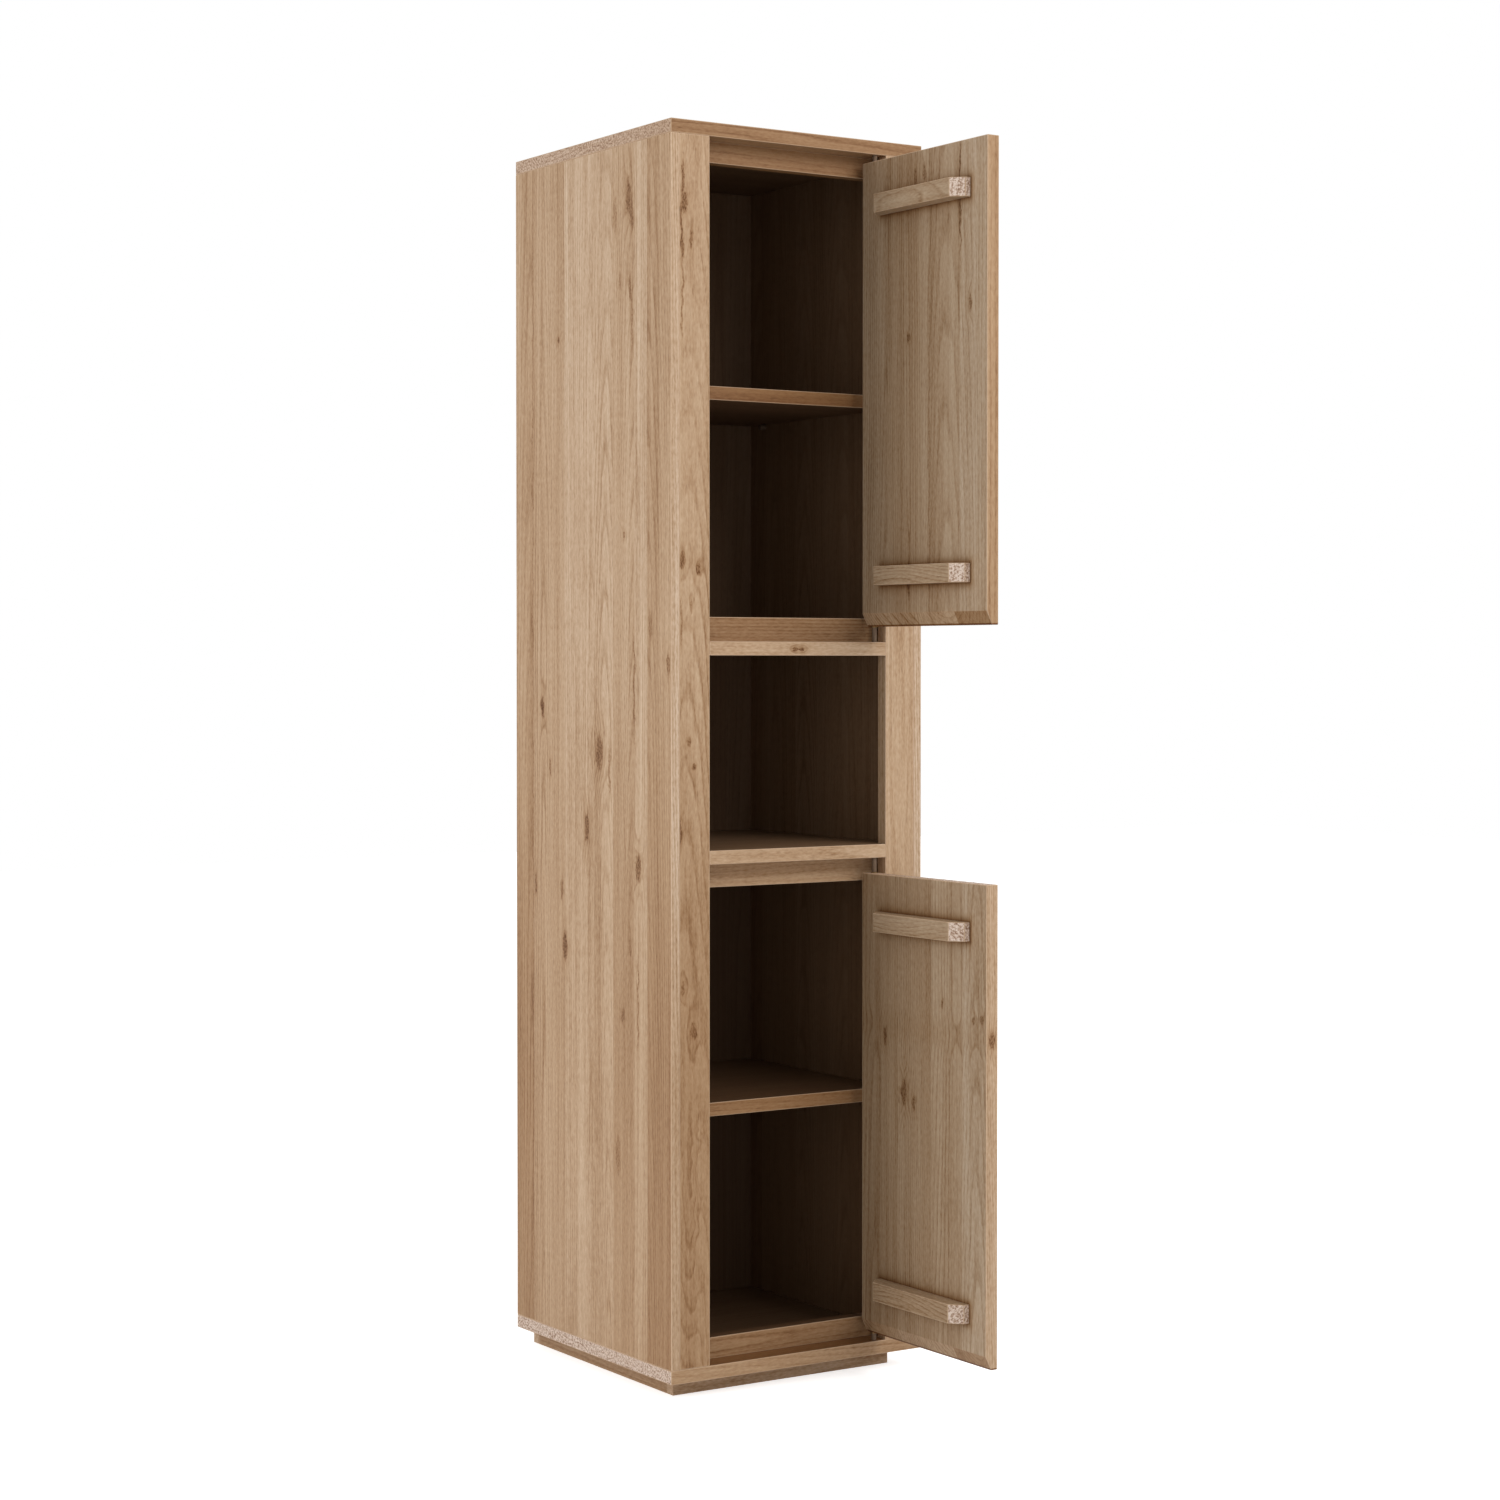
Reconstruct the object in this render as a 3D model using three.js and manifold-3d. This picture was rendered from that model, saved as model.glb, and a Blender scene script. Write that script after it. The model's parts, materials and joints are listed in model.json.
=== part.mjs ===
// Tall oak pantry cabinet: a solid-board column on a recessed plinth, with an upper and a lower
// cupboard, an open niche between them and two battened doors that turn on hidden pivot pins.
//
// Units are millimetres. +X is the cabinet's right as seen from the front, -Y is the front and +Z is
// up. The origin is on the floor, under the middle of the case. The doors are modelled standing open.

import * as THREE from 'three';
import { RoundedBoxGeometry } from 'three/addons/geometries/RoundedBoxGeometry.js';
import { mergeVertices } from 'three/addons/utils/BufferGeometryUtils.js';
import Module from 'manifold-3d';

// ---------------------------------------------------------------------------------------------
// Driving dimensions
// ---------------------------------------------------------------------------------------------

// Case
const CASE_WIDTH = 480;
const CASE_DEPTH = 500;
const TOP_BOARD_THICKNESS = 22;
const BOTTOM_BOARD_THICKNESS = 22;
const NICHE_BOARD_THICKNESS = 22;
const SIDE_THICKNESS = 22;
const LOWER_OPENING_HEIGHT = 788;
const NICHE_HEIGHT = 306;
const UPPER_OPENING_HEIGHT = 788;

// Stiles: the upright front members, each lapped into a rebate in its side panel
const STILE_WIDTH = 56;
const STILE_THICKNESS = 22;
const STILE_LAP = 7;

// Back panel, let into rebates in the side panels
const BACK_THICKNESS = 12;
const BACK_SETBACK = 10;
const BACK_LAP = 10;

// Plinth
const PLINTH_HEIGHT = 30;
const PLINTH_BOARD_THICKNESS = 18;
const PLINTH_SIDE_INSET = 32;
const PLINTH_FRONT_INSET = 48;
const PLINTH_BEARER_WIDTH = 60;
const CORNER_BLOCK_SIZE = 32;

// Rails behind the top and bottom edges of each door
const RAIL_THICKNESS = 22;
const RAIL_SETBACK = 40;
const OUTER_RAIL_HEIGHT = 34;
const INNER_RAIL_HEIGHT = 39;

// Shelves and the pins that carry them
const SHELF_THICKNESS = 22;
const SHELF_SETBACK = 54;
const SHELF_CLEARANCE = 1;
const UPPER_SHELF_RISE = 383;
const LOWER_SHELF_RISE = 383;
const SHELF_PIN_DIAMETER = 6;
const SHELF_PIN_SHANK = 10;
const SHELF_PIN_HEAD_DIAMETER = 9;
const SHELF_PIN_REACH = 12;
const SHELF_PIN_INSET = 45;

// Doors
const DOOR_THICKNESS = 22;
const DOOR_SIDE_GAP = 3;
const DOOR_OUTER_GAP = 13;
const DOOR_FINGER_GAP = 25;
const DOOR_BEVEL_HEIGHT = 22;
const DOOR_BEVEL_DEPTH = 11;
const DOOR_OPEN_ANGLE = 90;

// Battens across the inside of each door
const BATTEN_HEIGHT = 30;
const BATTEN_THICKNESS = 28;
const BATTEN_CHAMFER = 18;
const BATTEN_FROM_FREE_EDGE = 43;
const BATTEN_FROM_HINGE_EDGE = 52;
const BATTEN_FROM_TOP = 60;
const BATTEN_FROM_BOTTOM = 66;

// Pivot pins, fixed in the case boards, and the bushes let into the doors
const PIVOT_FROM_EDGE = 14;
const PIVOT_FROM_FACE = 8;
const PIVOT_DIAMETER = 6;
const PIVOT_SHANK_LENGTH = 14;
const PIVOT_SPIGOT_LENGTH = 15;
const PIVOT_COLLAR_DIAMETER = 8;
const BUSH_WALL = 1;
const BUSH_LENGTH = 18;
const BUSH_FLANGE_DIAMETER = 10;
const BUSH_FLANGE_THICKNESS = 1;

// Door stop: a block on the rail above each door's free edge, with a soft buffer on its face
const STOP_BLOCK_WIDTH = 11;
const STOP_BLOCK_HEIGHT = 12;
const STOP_BLOCK_FROM_STILE = 3;
const STOP_BLOCK_BELOW_DOOR_TOP = 2;
const BUFFER_DIAMETER = 8;
const BUFFER_THICKNESS = 2;

// Screws that hold the back panel in its rebates
const SCREW_DIAMETER = 3.5;
const SCREW_HEAD_DIAMETER = 7;
const SCREW_HEAD_HEIGHT = 2;
const SCREW_LENGTH = 30;
const SCREW_RECESS_DIAMETER = 2.4;
const SCREW_RECESS_DEPTH = 1;
const SCREW_END_DISTANCE = 120;
const SCREWS_PER_SIDE = 3;

// Fits and edges
const EDGE_EASE = 1;
const PLINTH_EDGE_EASE = 0.5;
const FIT_GAP = 0.3;
const RUNNING_GAP = 0.1;
const BORE_EXTRA_DEPTH = 1;
const ROUND_SEGMENTS = 32;
const SMALL_ROUND_SEGMENTS = 16;

// ---------------------------------------------------------------------------------------------
// Levels and planes that follow from them
// ---------------------------------------------------------------------------------------------

const lowerFloor = PLINTH_HEIGHT + BOTTOM_BOARD_THICKNESS;
const nicheFloorUnderside = lowerFloor + LOWER_OPENING_HEIGHT;
const nicheFloor = nicheFloorUnderside + NICHE_BOARD_THICKNESS;
const nicheCeiling = nicheFloor + NICHE_HEIGHT;
const upperFloor = nicheCeiling + NICHE_BOARD_THICKNESS;
const upperCeiling = upperFloor + UPPER_OPENING_HEIGHT;
const caseTop = upperCeiling + TOP_BOARD_THICKNESS;

const sideOuter = CASE_WIDTH / 2;
const sideInner = sideOuter - SIDE_THICKNESS;
const stileOuter = sideInner + STILE_LAP;
const stileInner = stileOuter - STILE_WIDTH;
const backRebateInner = sideInner + BACK_LAP;

const frontFace = -CASE_DEPTH / 2;
const backFace = CASE_DEPTH / 2;
const stileBack = frontFace + STILE_THICKNESS;
const railFront = frontFace + RAIL_SETBACK;
const shelfFront = frontFace + SHELF_SETBACK;
const panelBack = backFace - BACK_SETBACK;
const panelFront = panelBack - BACK_THICKNESS;
const shelfBack = panelFront - SHELF_CLEARANCE;

const pivotX = stileInner - DOOR_SIDE_GAP - PIVOT_FROM_EDGE;
const pivotY = frontFace + PIVOT_FROM_FACE;
const doorWidth = 2 * (stileInner - DOOR_SIDE_GAP);
const bushBore = PIVOT_DIAMETER / 2 + RUNNING_GAP;
const bushRadius = bushBore + BUSH_WALL;

// The two cupboards differ only in their levels, and in which end of the door faces the niche
const cupboards = [
  {
    name: 'upper',
    floor: upperFloor,
    ceiling: upperCeiling,
    floorRailHeight: INNER_RAIL_HEIGHT,
    ceilingRailHeight: OUTER_RAIL_HEIGHT,
    doorBottom: upperFloor + DOOR_FINGER_GAP,
    doorTop: upperCeiling - DOOR_OUTER_GAP,
    shelfUnderside: upperFloor + UPPER_SHELF_RISE,
  },
  {
    name: 'lower',
    floor: lowerFloor,
    ceiling: nicheFloorUnderside,
    floorRailHeight: OUTER_RAIL_HEIGHT,
    ceilingRailHeight: INNER_RAIL_HEIGHT,
    doorBottom: lowerFloor + DOOR_OUTER_GAP,
    doorTop: nicheFloorUnderside - DOOR_FINGER_GAP,
    shelfUnderside: lowerFloor + LOWER_SHELF_RISE,
  },
];

// ---------------------------------------------------------------------------------------------
// Materials
// ---------------------------------------------------------------------------------------------

const oak = new THREE.MeshStandardMaterial({ color: 0xb7997d, roughness: 0.62, metalness: 0 });
const innerOak = new THREE.MeshStandardMaterial({ color: 0x8a6b4c, roughness: 0.66, metalness: 0 });
const steel = new THREE.MeshStandardMaterial({ color: 0x6a5a4c, roughness: 0.38, metalness: 0.9 });
const brass = new THREE.MeshStandardMaterial({ color: 0x9a7b4a, roughness: 0.4, metalness: 0.9 });
const rubber = new THREE.MeshStandardMaterial({ color: 0x3a2f28, roughness: 0.85, metalness: 0 });

// ---------------------------------------------------------------------------------------------
// Shape helpers
// ---------------------------------------------------------------------------------------------

const wasm = await Module();
wasm.setup();

const part = new THREE.Group();

/** Names a geometry as one piece and adds it to a group. */
function addPiece(group, name, geometry, material) {
  const mesh = new THREE.Mesh(geometry, material);
  mesh.name = name;
  group.add(mesh);
}

/** A board between two corners, with every edge eased. */
function board([x0, y0, z0], [x1, y1, z1], ease = EDGE_EASE) {
  const geometry = new RoundedBoxGeometry(x1 - x0, y1 - y0, z1 - z0, 1, ease);
  geometry.translate((x0 + x1) / 2, (y0 + y1) / 2, (z0 + z1) / 2);
  return geometry;
}

/** A closed outline whose corners are cut back by the third number of a point, where it has one. */
function easedOutline(points) {
  const corners = points.map(([x, y, ease = 0]) => ({ at: new THREE.Vector2(x, y), ease }));
  const outline = corners.flatMap(({ at, ease }, i) => {
    if (ease === 0) return [at];
    const before = corners.at(i - 1).at.clone().sub(at).setLength(ease).add(at);
    const after = corners[(i + 1) % corners.length].at.clone().sub(at).setLength(ease).add(at);
    return [before, after];
  });
  return new THREE.Shape(outline);
}

/** A prism on an outline, from 0 to length, with the edges at its two ends eased. */
function prism(outline, length, ease = 0) {
  return new THREE.ExtrudeGeometry(outline, {
    depth: length - 2 * ease,
    bevelEnabled: ease > 0,
    bevelThickness: ease,
    bevelSize: ease,
    bevelOffset: -ease,
    bevelSegments: 1,
  }).translate(0, 0, ease);
}

/** A prism that stands on a plan outline, from one level up to another. */
function uprightPrism(outline, bottom, top, ease = 0) {
  return prism(outline, top - bottom, ease).translate(0, 0, bottom);
}

/** A solid of revolution about +Z. The profile lists [radius, height] from axis to axis. */
function turned(profile, segments) {
  const points = profile.map(([radius, height]) => new THREE.Vector2(radius, height));
  return new THREE.LatheGeometry(points, segments).rotateX(Math.PI / 2);
}

/** A plain round bar about +Z, used for bores. */
function roundBar(radius, bottom, top, segments) {
  return turned([[0, bottom], [radius, bottom], [radius, top], [0, top]], segments);
}

/** The solid of a closed geometry, ready for cutting. */
function toSolid(geometry) {
  const bare = geometry.clone();
  bare.deleteAttribute('normal');
  bare.deleteAttribute('uv');
  const merged = mergeVertices(bare, 1e-3);
  return new wasm.Manifold(new wasm.Mesh({
    numProp: 3,
    vertProperties: new Float32Array(merged.attributes.position.array),
    triVerts: new Uint32Array(merged.index.array),
  }));
}

/** A geometry with the given tools cut out of it. */
function cut(geometry, tools) {
  const solid = tools.reduce((left, tool) => left.subtract(toSolid(tool)), toSolid(geometry));
  const mesh = solid.getMesh();
  const result = new THREE.BufferGeometry();
  result.setAttribute('position', new THREE.BufferAttribute(mesh.vertProperties, 3));
  result.setIndex(new THREE.BufferAttribute(mesh.triVerts, 1));
  const flat = result.toNonIndexed();
  flat.computeVertexNormals();
  return flat;
}

// ---------------------------------------------------------------------------------------------
// Bores that more than one piece shares
// ---------------------------------------------------------------------------------------------

/** Levels of the pivot pins: at each, the door lies in direction +1 (above) or -1 (below). */
const pivotLevels = cupboards.flatMap(({ name, floor, ceiling, doorBottom, doorTop }) => [
  { name: `${name}_door_bottom`, door: name, board: floor, doorEdge: doorBottom, towardsDoor: 1 },
  { name: `${name}_door_top`, door: name, board: ceiling, doorEdge: doorTop, towardsDoor: -1 },
]);

/** The bore in a case board that takes a pivot pin's shank. */
function pivotShankBore({ board: level, towardsDoor }) {
  const deep = level - towardsDoor * (PIVOT_SHANK_LENGTH + BORE_EXTRA_DEPTH);
  const proud = level + towardsDoor * BORE_EXTRA_DEPTH;
  const [bottom, top] = [Math.min(deep, proud), Math.max(deep, proud)];
  const radius = PIVOT_DIAMETER / 2 + FIT_GAP;
  return roundBar(radius, bottom, top, ROUND_SEGMENTS).translate(pivotX, pivotY, 0);
}

/** The bores for the pivots that are let into the board at a level. */
function pivotBoresAt(level) {
  return pivotLevels.filter((pivot) => pivot.board === level).map(pivotShankBore);
}

/** Places of a cupboard's shelf pins: both sides, near the shelf's front and back edges. */
function shelfPinPlaces({ name, shelfUnderside }) {
  const z = shelfUnderside - FIT_GAP - SHELF_PIN_HEAD_DIAMETER / 2;
  const rows = [['front', shelfFront + SHELF_PIN_INSET], ['back', shelfBack - SHELF_PIN_INSET]];
  const hands = [['left', -1], ['right', 1]];
  return rows.flatMap(([row, y]) =>
    hands.map(([hand, side]) => ({ name: `${name}_shelf_pin_${row}_${hand}`, side, y, z })));
}

/** Places of the back panel's screws on one side, evenly spaced between the end ones. */
function screwPlaces(side) {
  const first = lowerFloor + SCREW_END_DISTANCE;
  const last = upperCeiling - SCREW_END_DISTANCE;
  return Array.from({ length: SCREWS_PER_SIDE }, (_, i) => ({
    x: side * (sideInner + BACK_LAP / 2),
    z: first + ((last - first) * i) / (SCREWS_PER_SIDE - 1),
  }));
}

/** Turns a geometry made about +Z so that its +Z points along +X or -X. */
function aimAlongX(geometry, side) {
  return geometry.rotateY((side * Math.PI) / 2);
}

/** Turns a geometry made about +Z so that its +Z points along -Y. */
function aimForward(geometry) {
  return geometry.rotateX(Math.PI / 2);
}

// ---------------------------------------------------------------------------------------------
// Case
// ---------------------------------------------------------------------------------------------

/** The top and bottom boards run over the ends of the sides, so their end grain shows. */
function addTopAndBottomBoards(group) {
  const corner = (y, z, hand) => [hand * sideOuter, y, z];
  const top = board(corner(frontFace, upperCeiling, -1), corner(backFace, caseTop, 1));
  const bottom = board(corner(frontFace, PLINTH_HEIGHT, -1), corner(backFace, lowerFloor, 1));
  addPiece(group, 'top_board', cut(top, pivotBoresAt(upperCeiling)), oak);
  addPiece(group, 'bottom_board', cut(bottom, pivotBoresAt(lowerFloor)), oak);
}

/** A side panel: its front rebate takes the stile and its back rebate takes the back panel. */
function sidePanel(side) {
  const outline = easedOutline([
    [side * sideOuter, frontFace, EDGE_EASE],
    [side * stileOuter, frontFace],
    [side * stileOuter, stileBack],
    [side * sideInner, stileBack],
    [side * sideInner, panelFront],
    [side * backRebateInner, panelFront],
    [side * backRebateInner, backFace],
    [side * sideOuter, backFace, EDGE_EASE],
  ]);
  const pinBores = cupboards.flatMap(shelfPinPlaces).filter((pin) => pin.side === side).map((pin) => {
    const radius = SHELF_PIN_DIAMETER / 2 + FIT_GAP;
    const bore = roundBar(radius, -BORE_EXTRA_DEPTH, SHELF_PIN_SHANK + BORE_EXTRA_DEPTH,
      SMALL_ROUND_SEGMENTS);
    return aimAlongX(bore, side).translate(side * sideInner, pin.y, pin.z);
  });
  const screwBores = screwPlaces(side).map(({ x, z }) => {
    const depth = SCREW_LENGTH - BACK_THICKNESS + BORE_EXTRA_DEPTH;
    const radius = SCREW_DIAMETER / 2 + FIT_GAP;
    const bore = roundBar(radius, -BORE_EXTRA_DEPTH, depth, SMALL_ROUND_SEGMENTS);
    return aimForward(bore).translate(x, panelFront, z);
  });
  return cut(uprightPrism(outline, lowerFloor, upperCeiling), [...pinBores, ...screwBores]);
}

/** A stile, sitting in its side panel's rebate with its exposed edges eased. */
function stile(side) {
  const outline = easedOutline([
    [side * stileOuter, frontFace],
    [side * stileInner, frontFace, EDGE_EASE],
    [side * stileInner, stileBack, EDGE_EASE],
    [side * stileOuter, stileBack],
  ]);
  return uprightPrism(outline, lowerFloor, upperCeiling);
}

function addSidesAndStiles(group) {
  for (const [hand, side] of [['left', -1], ['right', 1]]) {
    addPiece(group, `side_panel_${hand}`, sidePanel(side), oak);
    addPiece(group, `stile_${hand}`, stile(side), oak);
  }
}

/** A niche board: its front edge fills the space between the stiles, flush with them. */
function nicheBoard(underside, pivotLevel) {
  const outline = easedOutline([
    [-stileInner, frontFace],
    [stileInner, frontFace],
    [stileInner, stileBack],
    [sideInner, stileBack],
    [sideInner, panelFront],
    [-sideInner, panelFront],
    [-sideInner, stileBack],
    [-stileInner, stileBack],
  ]);
  const solid = uprightPrism(outline, underside, underside + NICHE_BOARD_THICKNESS, EDGE_EASE);
  return cut(solid, pivotBoresAt(pivotLevel));
}

function addNicheBoards(group) {
  addPiece(group, 'niche_floor_board', nicheBoard(nicheFloorUnderside, nicheFloorUnderside), oak);
  addPiece(group, 'niche_ceiling_board', nicheBoard(nicheCeiling, upperFloor), oak);
}

/** A countersunk screw about +Z, from its head at 0 down to its point. */
function backScrew() {
  const shank = SCREW_DIAMETER / 2;
  const recess = SCREW_RECESS_DIAMETER / 2;
  return turned([
    [0, -SCREW_LENGTH],
    [shank, SCREW_DIAMETER - SCREW_LENGTH],
    [shank, -SCREW_HEAD_HEIGHT],
    [SCREW_HEAD_DIAMETER / 2, 0],
    [recess, 0],
    [0, -SCREW_RECESS_DEPTH],
  ], SMALL_ROUND_SEGMENTS);
}

/** The hole for a back screw, a fit gap larger all round. */
function backScrewHole() {
  const shank = SCREW_DIAMETER / 2 + FIT_GAP;
  const head = SCREW_HEAD_DIAMETER / 2 + FIT_GAP;
  return turned([
    [0, -BACK_THICKNESS - BORE_EXTRA_DEPTH],
    [shank, -BACK_THICKNESS - BORE_EXTRA_DEPTH],
    [shank, -SCREW_HEAD_HEIGHT - FIT_GAP],
    [head, 0],
    [head, BORE_EXTRA_DEPTH],
    [0, BORE_EXTRA_DEPTH],
  ], SMALL_ROUND_SEGMENTS);
}

/** The back panel and its screws, whose heads face +Y. */
function addBackPanel(group) {
  const halfWidth = backRebateInner - FIT_GAP;
  const panel = board([-halfWidth, panelFront, lowerFloor], [halfWidth, panelBack, upperCeiling]);
  const holes = [];
  for (const [hand, side] of [['left', -1], ['right', 1]]) {
    screwPlaces(side).forEach(({ x, z }, i) => {
      const place = (geometry) => geometry.rotateX(-Math.PI / 2).translate(x, panelBack, z);
      holes.push(place(backScrewHole()));
      addPiece(group, `back_screw_${hand}_${i + 1}`, place(backScrew()), steel);
    });
  }
  addPiece(group, 'back_panel', cut(panel, holes), innerOak);
}

// ---------------------------------------------------------------------------------------------
// Plinth
// ---------------------------------------------------------------------------------------------

/** A mitre-free plinth frame with glued corner blocks and one bearer across its middle. */
function addPlinth(group) {
  const outer = sideOuter - PLINTH_SIDE_INSET;
  const inner = outer - PLINTH_BOARD_THICKNESS;
  const front = frontFace + PLINTH_FRONT_INSET;
  const frontInner = front + PLINTH_BOARD_THICKNESS;
  const backInner = backFace - PLINTH_BOARD_THICKNESS;
  const plank = (x0, y0, x1, y1) =>
    board([x0, y0, 0], [x1, y1, PLINTH_HEIGHT], PLINTH_EDGE_EASE);

  addPiece(group, 'plinth_front', plank(-outer, front, outer, frontInner), oak);
  addPiece(group, 'plinth_back', plank(-outer, backInner, outer, backFace), oak);
  addPiece(group, 'plinth_side_left', plank(-outer, frontInner, -inner, backInner), oak);
  addPiece(group, 'plinth_side_right', plank(inner, frontInner, outer, backInner), oak);
  addPiece(group, 'plinth_bearer',
    plank(-inner, -PLINTH_BEARER_WIDTH / 2, inner, PLINTH_BEARER_WIDTH / 2), oak);

  for (const [hand, side] of [['left', -1], ['right', 1]]) {
    for (const [row, y, away] of [['front', frontInner, 1], ['back', backInner, -1]]) {
      const xs = [side * inner, side * (inner - CORNER_BLOCK_SIZE)].sort((a, b) => a - b);
      const ys = [y, y + away * CORNER_BLOCK_SIZE].sort((a, b) => a - b);
      addPiece(group, `plinth_block_${row}_${hand}`, plank(xs[0], ys[0], xs[1], ys[1]), oak);
    }
  }
}

// ---------------------------------------------------------------------------------------------
// Cupboard fittings
// ---------------------------------------------------------------------------------------------

/** The rails at the floor and the ceiling of a cupboard, set back behind its door. */
function addRails(group, { name, floor, ceiling, floorRailHeight, ceilingRailHeight }) {
  const rail = (bottom, top) =>
    board([-sideInner, railFront, bottom], [sideInner, railFront + RAIL_THICKNESS, top]);
  addPiece(group, `${name}_floor_rail`, rail(floor, floor + floorRailHeight), innerOak);
  addPiece(group, `${name}_ceiling_rail`, rail(ceiling - ceilingRailHeight, ceiling), innerOak);
}

/** A shelf, with room to lift out between the sides. */
function addShelf(group, { name, shelfUnderside }) {
  const halfWidth = sideInner - SHELF_CLEARANCE;
  const low = [-halfWidth, shelfFront, shelfUnderside];
  const high = [halfWidth, shelfBack, shelfUnderside + SHELF_THICKNESS];
  addPiece(group, `${name}_shelf`, board(low, high), innerOak);
}

/** A shelf pin about +Z: its shank lies below 0 and the thicker head that bears the shelf above. */
function shelfPin() {
  const shank = SHELF_PIN_DIAMETER / 2;
  const head = SHELF_PIN_HEAD_DIAMETER / 2;
  return turned([
    [0, -SHELF_PIN_SHANK],
    [shank, -SHELF_PIN_SHANK],
    [shank, 0],
    [head, 0],
    [head, SHELF_PIN_REACH],
    [0, SHELF_PIN_REACH],
  ], SMALL_ROUND_SEGMENTS);
}

function addShelfPins(group, cupboard) {
  for (const { name, side, y, z } of shelfPinPlaces(cupboard)) {
    const pin = aimAlongX(shelfPin(), -side).translate(side * sideInner, y, z);
    addPiece(group, name, pin, steel);
  }
}

/** The stop block hangs on the ceiling rail, and its buffer meets the closed door's inner face. */
function addDoorStop(group, { name, doorTop }) {
  const left = -stileInner + STOP_BLOCK_FROM_STILE;
  const top = doorTop - STOP_BLOCK_BELOW_DOOR_TOP;
  const bufferFront = frontFace + DOOR_THICKNESS + FIT_GAP;
  const blockFront = bufferFront + BUFFER_THICKNESS;
  const block = board([left, blockFront, top - STOP_BLOCK_HEIGHT],
    [left + STOP_BLOCK_WIDTH, railFront, top]);
  addPiece(group, `${name}_stop_block`, block, innerOak);

  const buffer = roundBar(BUFFER_DIAMETER / 2, 0, BUFFER_THICKNESS, SMALL_ROUND_SEGMENTS);
  const centre = [left + STOP_BLOCK_WIDTH / 2, blockFront, top - STOP_BLOCK_HEIGHT / 2];
  addPiece(group, `${name}_stop_buffer`, aimForward(buffer).translate(...centre), rubber);
}

/** A pivot pin: shank in the case board, collar across the gap, spigot in the door's bush. */
function addPivotPins(group) {
  const radius = PIVOT_DIAMETER / 2;
  for (const { name, board: level, doorEdge, towardsDoor } of pivotLevels) {
    const gap = Math.abs(doorEdge - level);
    const collarEnd = gap - BUSH_FLANGE_THICKNESS - FIT_GAP;
    const collar = PIVOT_COLLAR_DIAMETER / 2;
    const pin = turned([
      [0, -PIVOT_SHANK_LENGTH],
      [radius, -PIVOT_SHANK_LENGTH],
      [radius, 0],
      [collar, 0],
      [collar, collarEnd],
      [radius, collarEnd],
      [radius, gap + PIVOT_SPIGOT_LENGTH],
      [0, gap + PIVOT_SPIGOT_LENGTH],
    ], ROUND_SEGMENTS);
    if (towardsDoor < 0) pin.rotateX(Math.PI);
    addPiece(group, `${name}_pivot_pin`, pin.translate(pivotX, pivotY, level), steel);
  }
}

// ---------------------------------------------------------------------------------------------
// Doors, drawn closed about their pivot axis and then turned open as a group
// ---------------------------------------------------------------------------------------------

const hingeEdge = PIVOT_FROM_EDGE;
const freeEdge = hingeEdge - doorWidth;
const doorOuterFace = -PIVOT_FROM_FACE;
const doorInnerFace = doorOuterFace + DOOR_THICKNESS;

/** The door board: square edges, with the inner edge of its foot bevelled for the fingers. */
function doorBoard({ doorBottom, doorTop }, bores) {
  const section = easedOutline([
    [doorOuterFace, doorBottom, EDGE_EASE],
    [doorInnerFace - DOOR_BEVEL_DEPTH, doorBottom, EDGE_EASE],
    [doorInnerFace, doorBottom + DOOR_BEVEL_HEIGHT, EDGE_EASE],
    [doorInnerFace, doorTop, EDGE_EASE],
    [doorOuterFace, doorTop, EDGE_EASE],
  ]);
  const sectionToDoor = new THREE.Matrix4().makeBasis(
    new THREE.Vector3(0, 1, 0), new THREE.Vector3(0, 0, 1), new THREE.Vector3(1, 0, 0));
  const solid = prism(section, doorWidth, EDGE_EASE).applyMatrix4(sectionToDoor);
  return cut(solid.translate(freeEdge, 0, 0), bores);
}

/** A batten seen from above: both ends are chamfered at 45 degrees on the side away from the door. */
function battenOutline() {
  const left = freeEdge + BATTEN_FROM_FREE_EDGE;
  const right = hingeEdge - BATTEN_FROM_HINGE_EDGE;
  const top = doorInnerFace + BATTEN_THICKNESS;
  return easedOutline([
    [left, doorInnerFace],
    [right, doorInnerFace],
    [right, top - BATTEN_CHAMFER, EDGE_EASE],
    [right - BATTEN_CHAMFER, top, EDGE_EASE],
    [left + BATTEN_CHAMFER, top, EDGE_EASE],
    [left, top - BATTEN_CHAMFER, EDGE_EASE],
  ]);
}

/** A flanged bush about +Z: its flange lies on the door's edge and its sleeve goes down from 0. */
function bush() {
  const flange = BUSH_FLANGE_DIAMETER / 2;
  return turned([
    [bushBore, -BUSH_LENGTH],
    [bushRadius, -BUSH_LENGTH],
    [bushRadius, 0],
    [flange, 0],
    [flange, BUSH_FLANGE_THICKNESS],
    [bushBore, BUSH_FLANGE_THICKNESS],
    [bushBore, -BUSH_LENGTH],
  ], ROUND_SEGMENTS);
}

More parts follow.
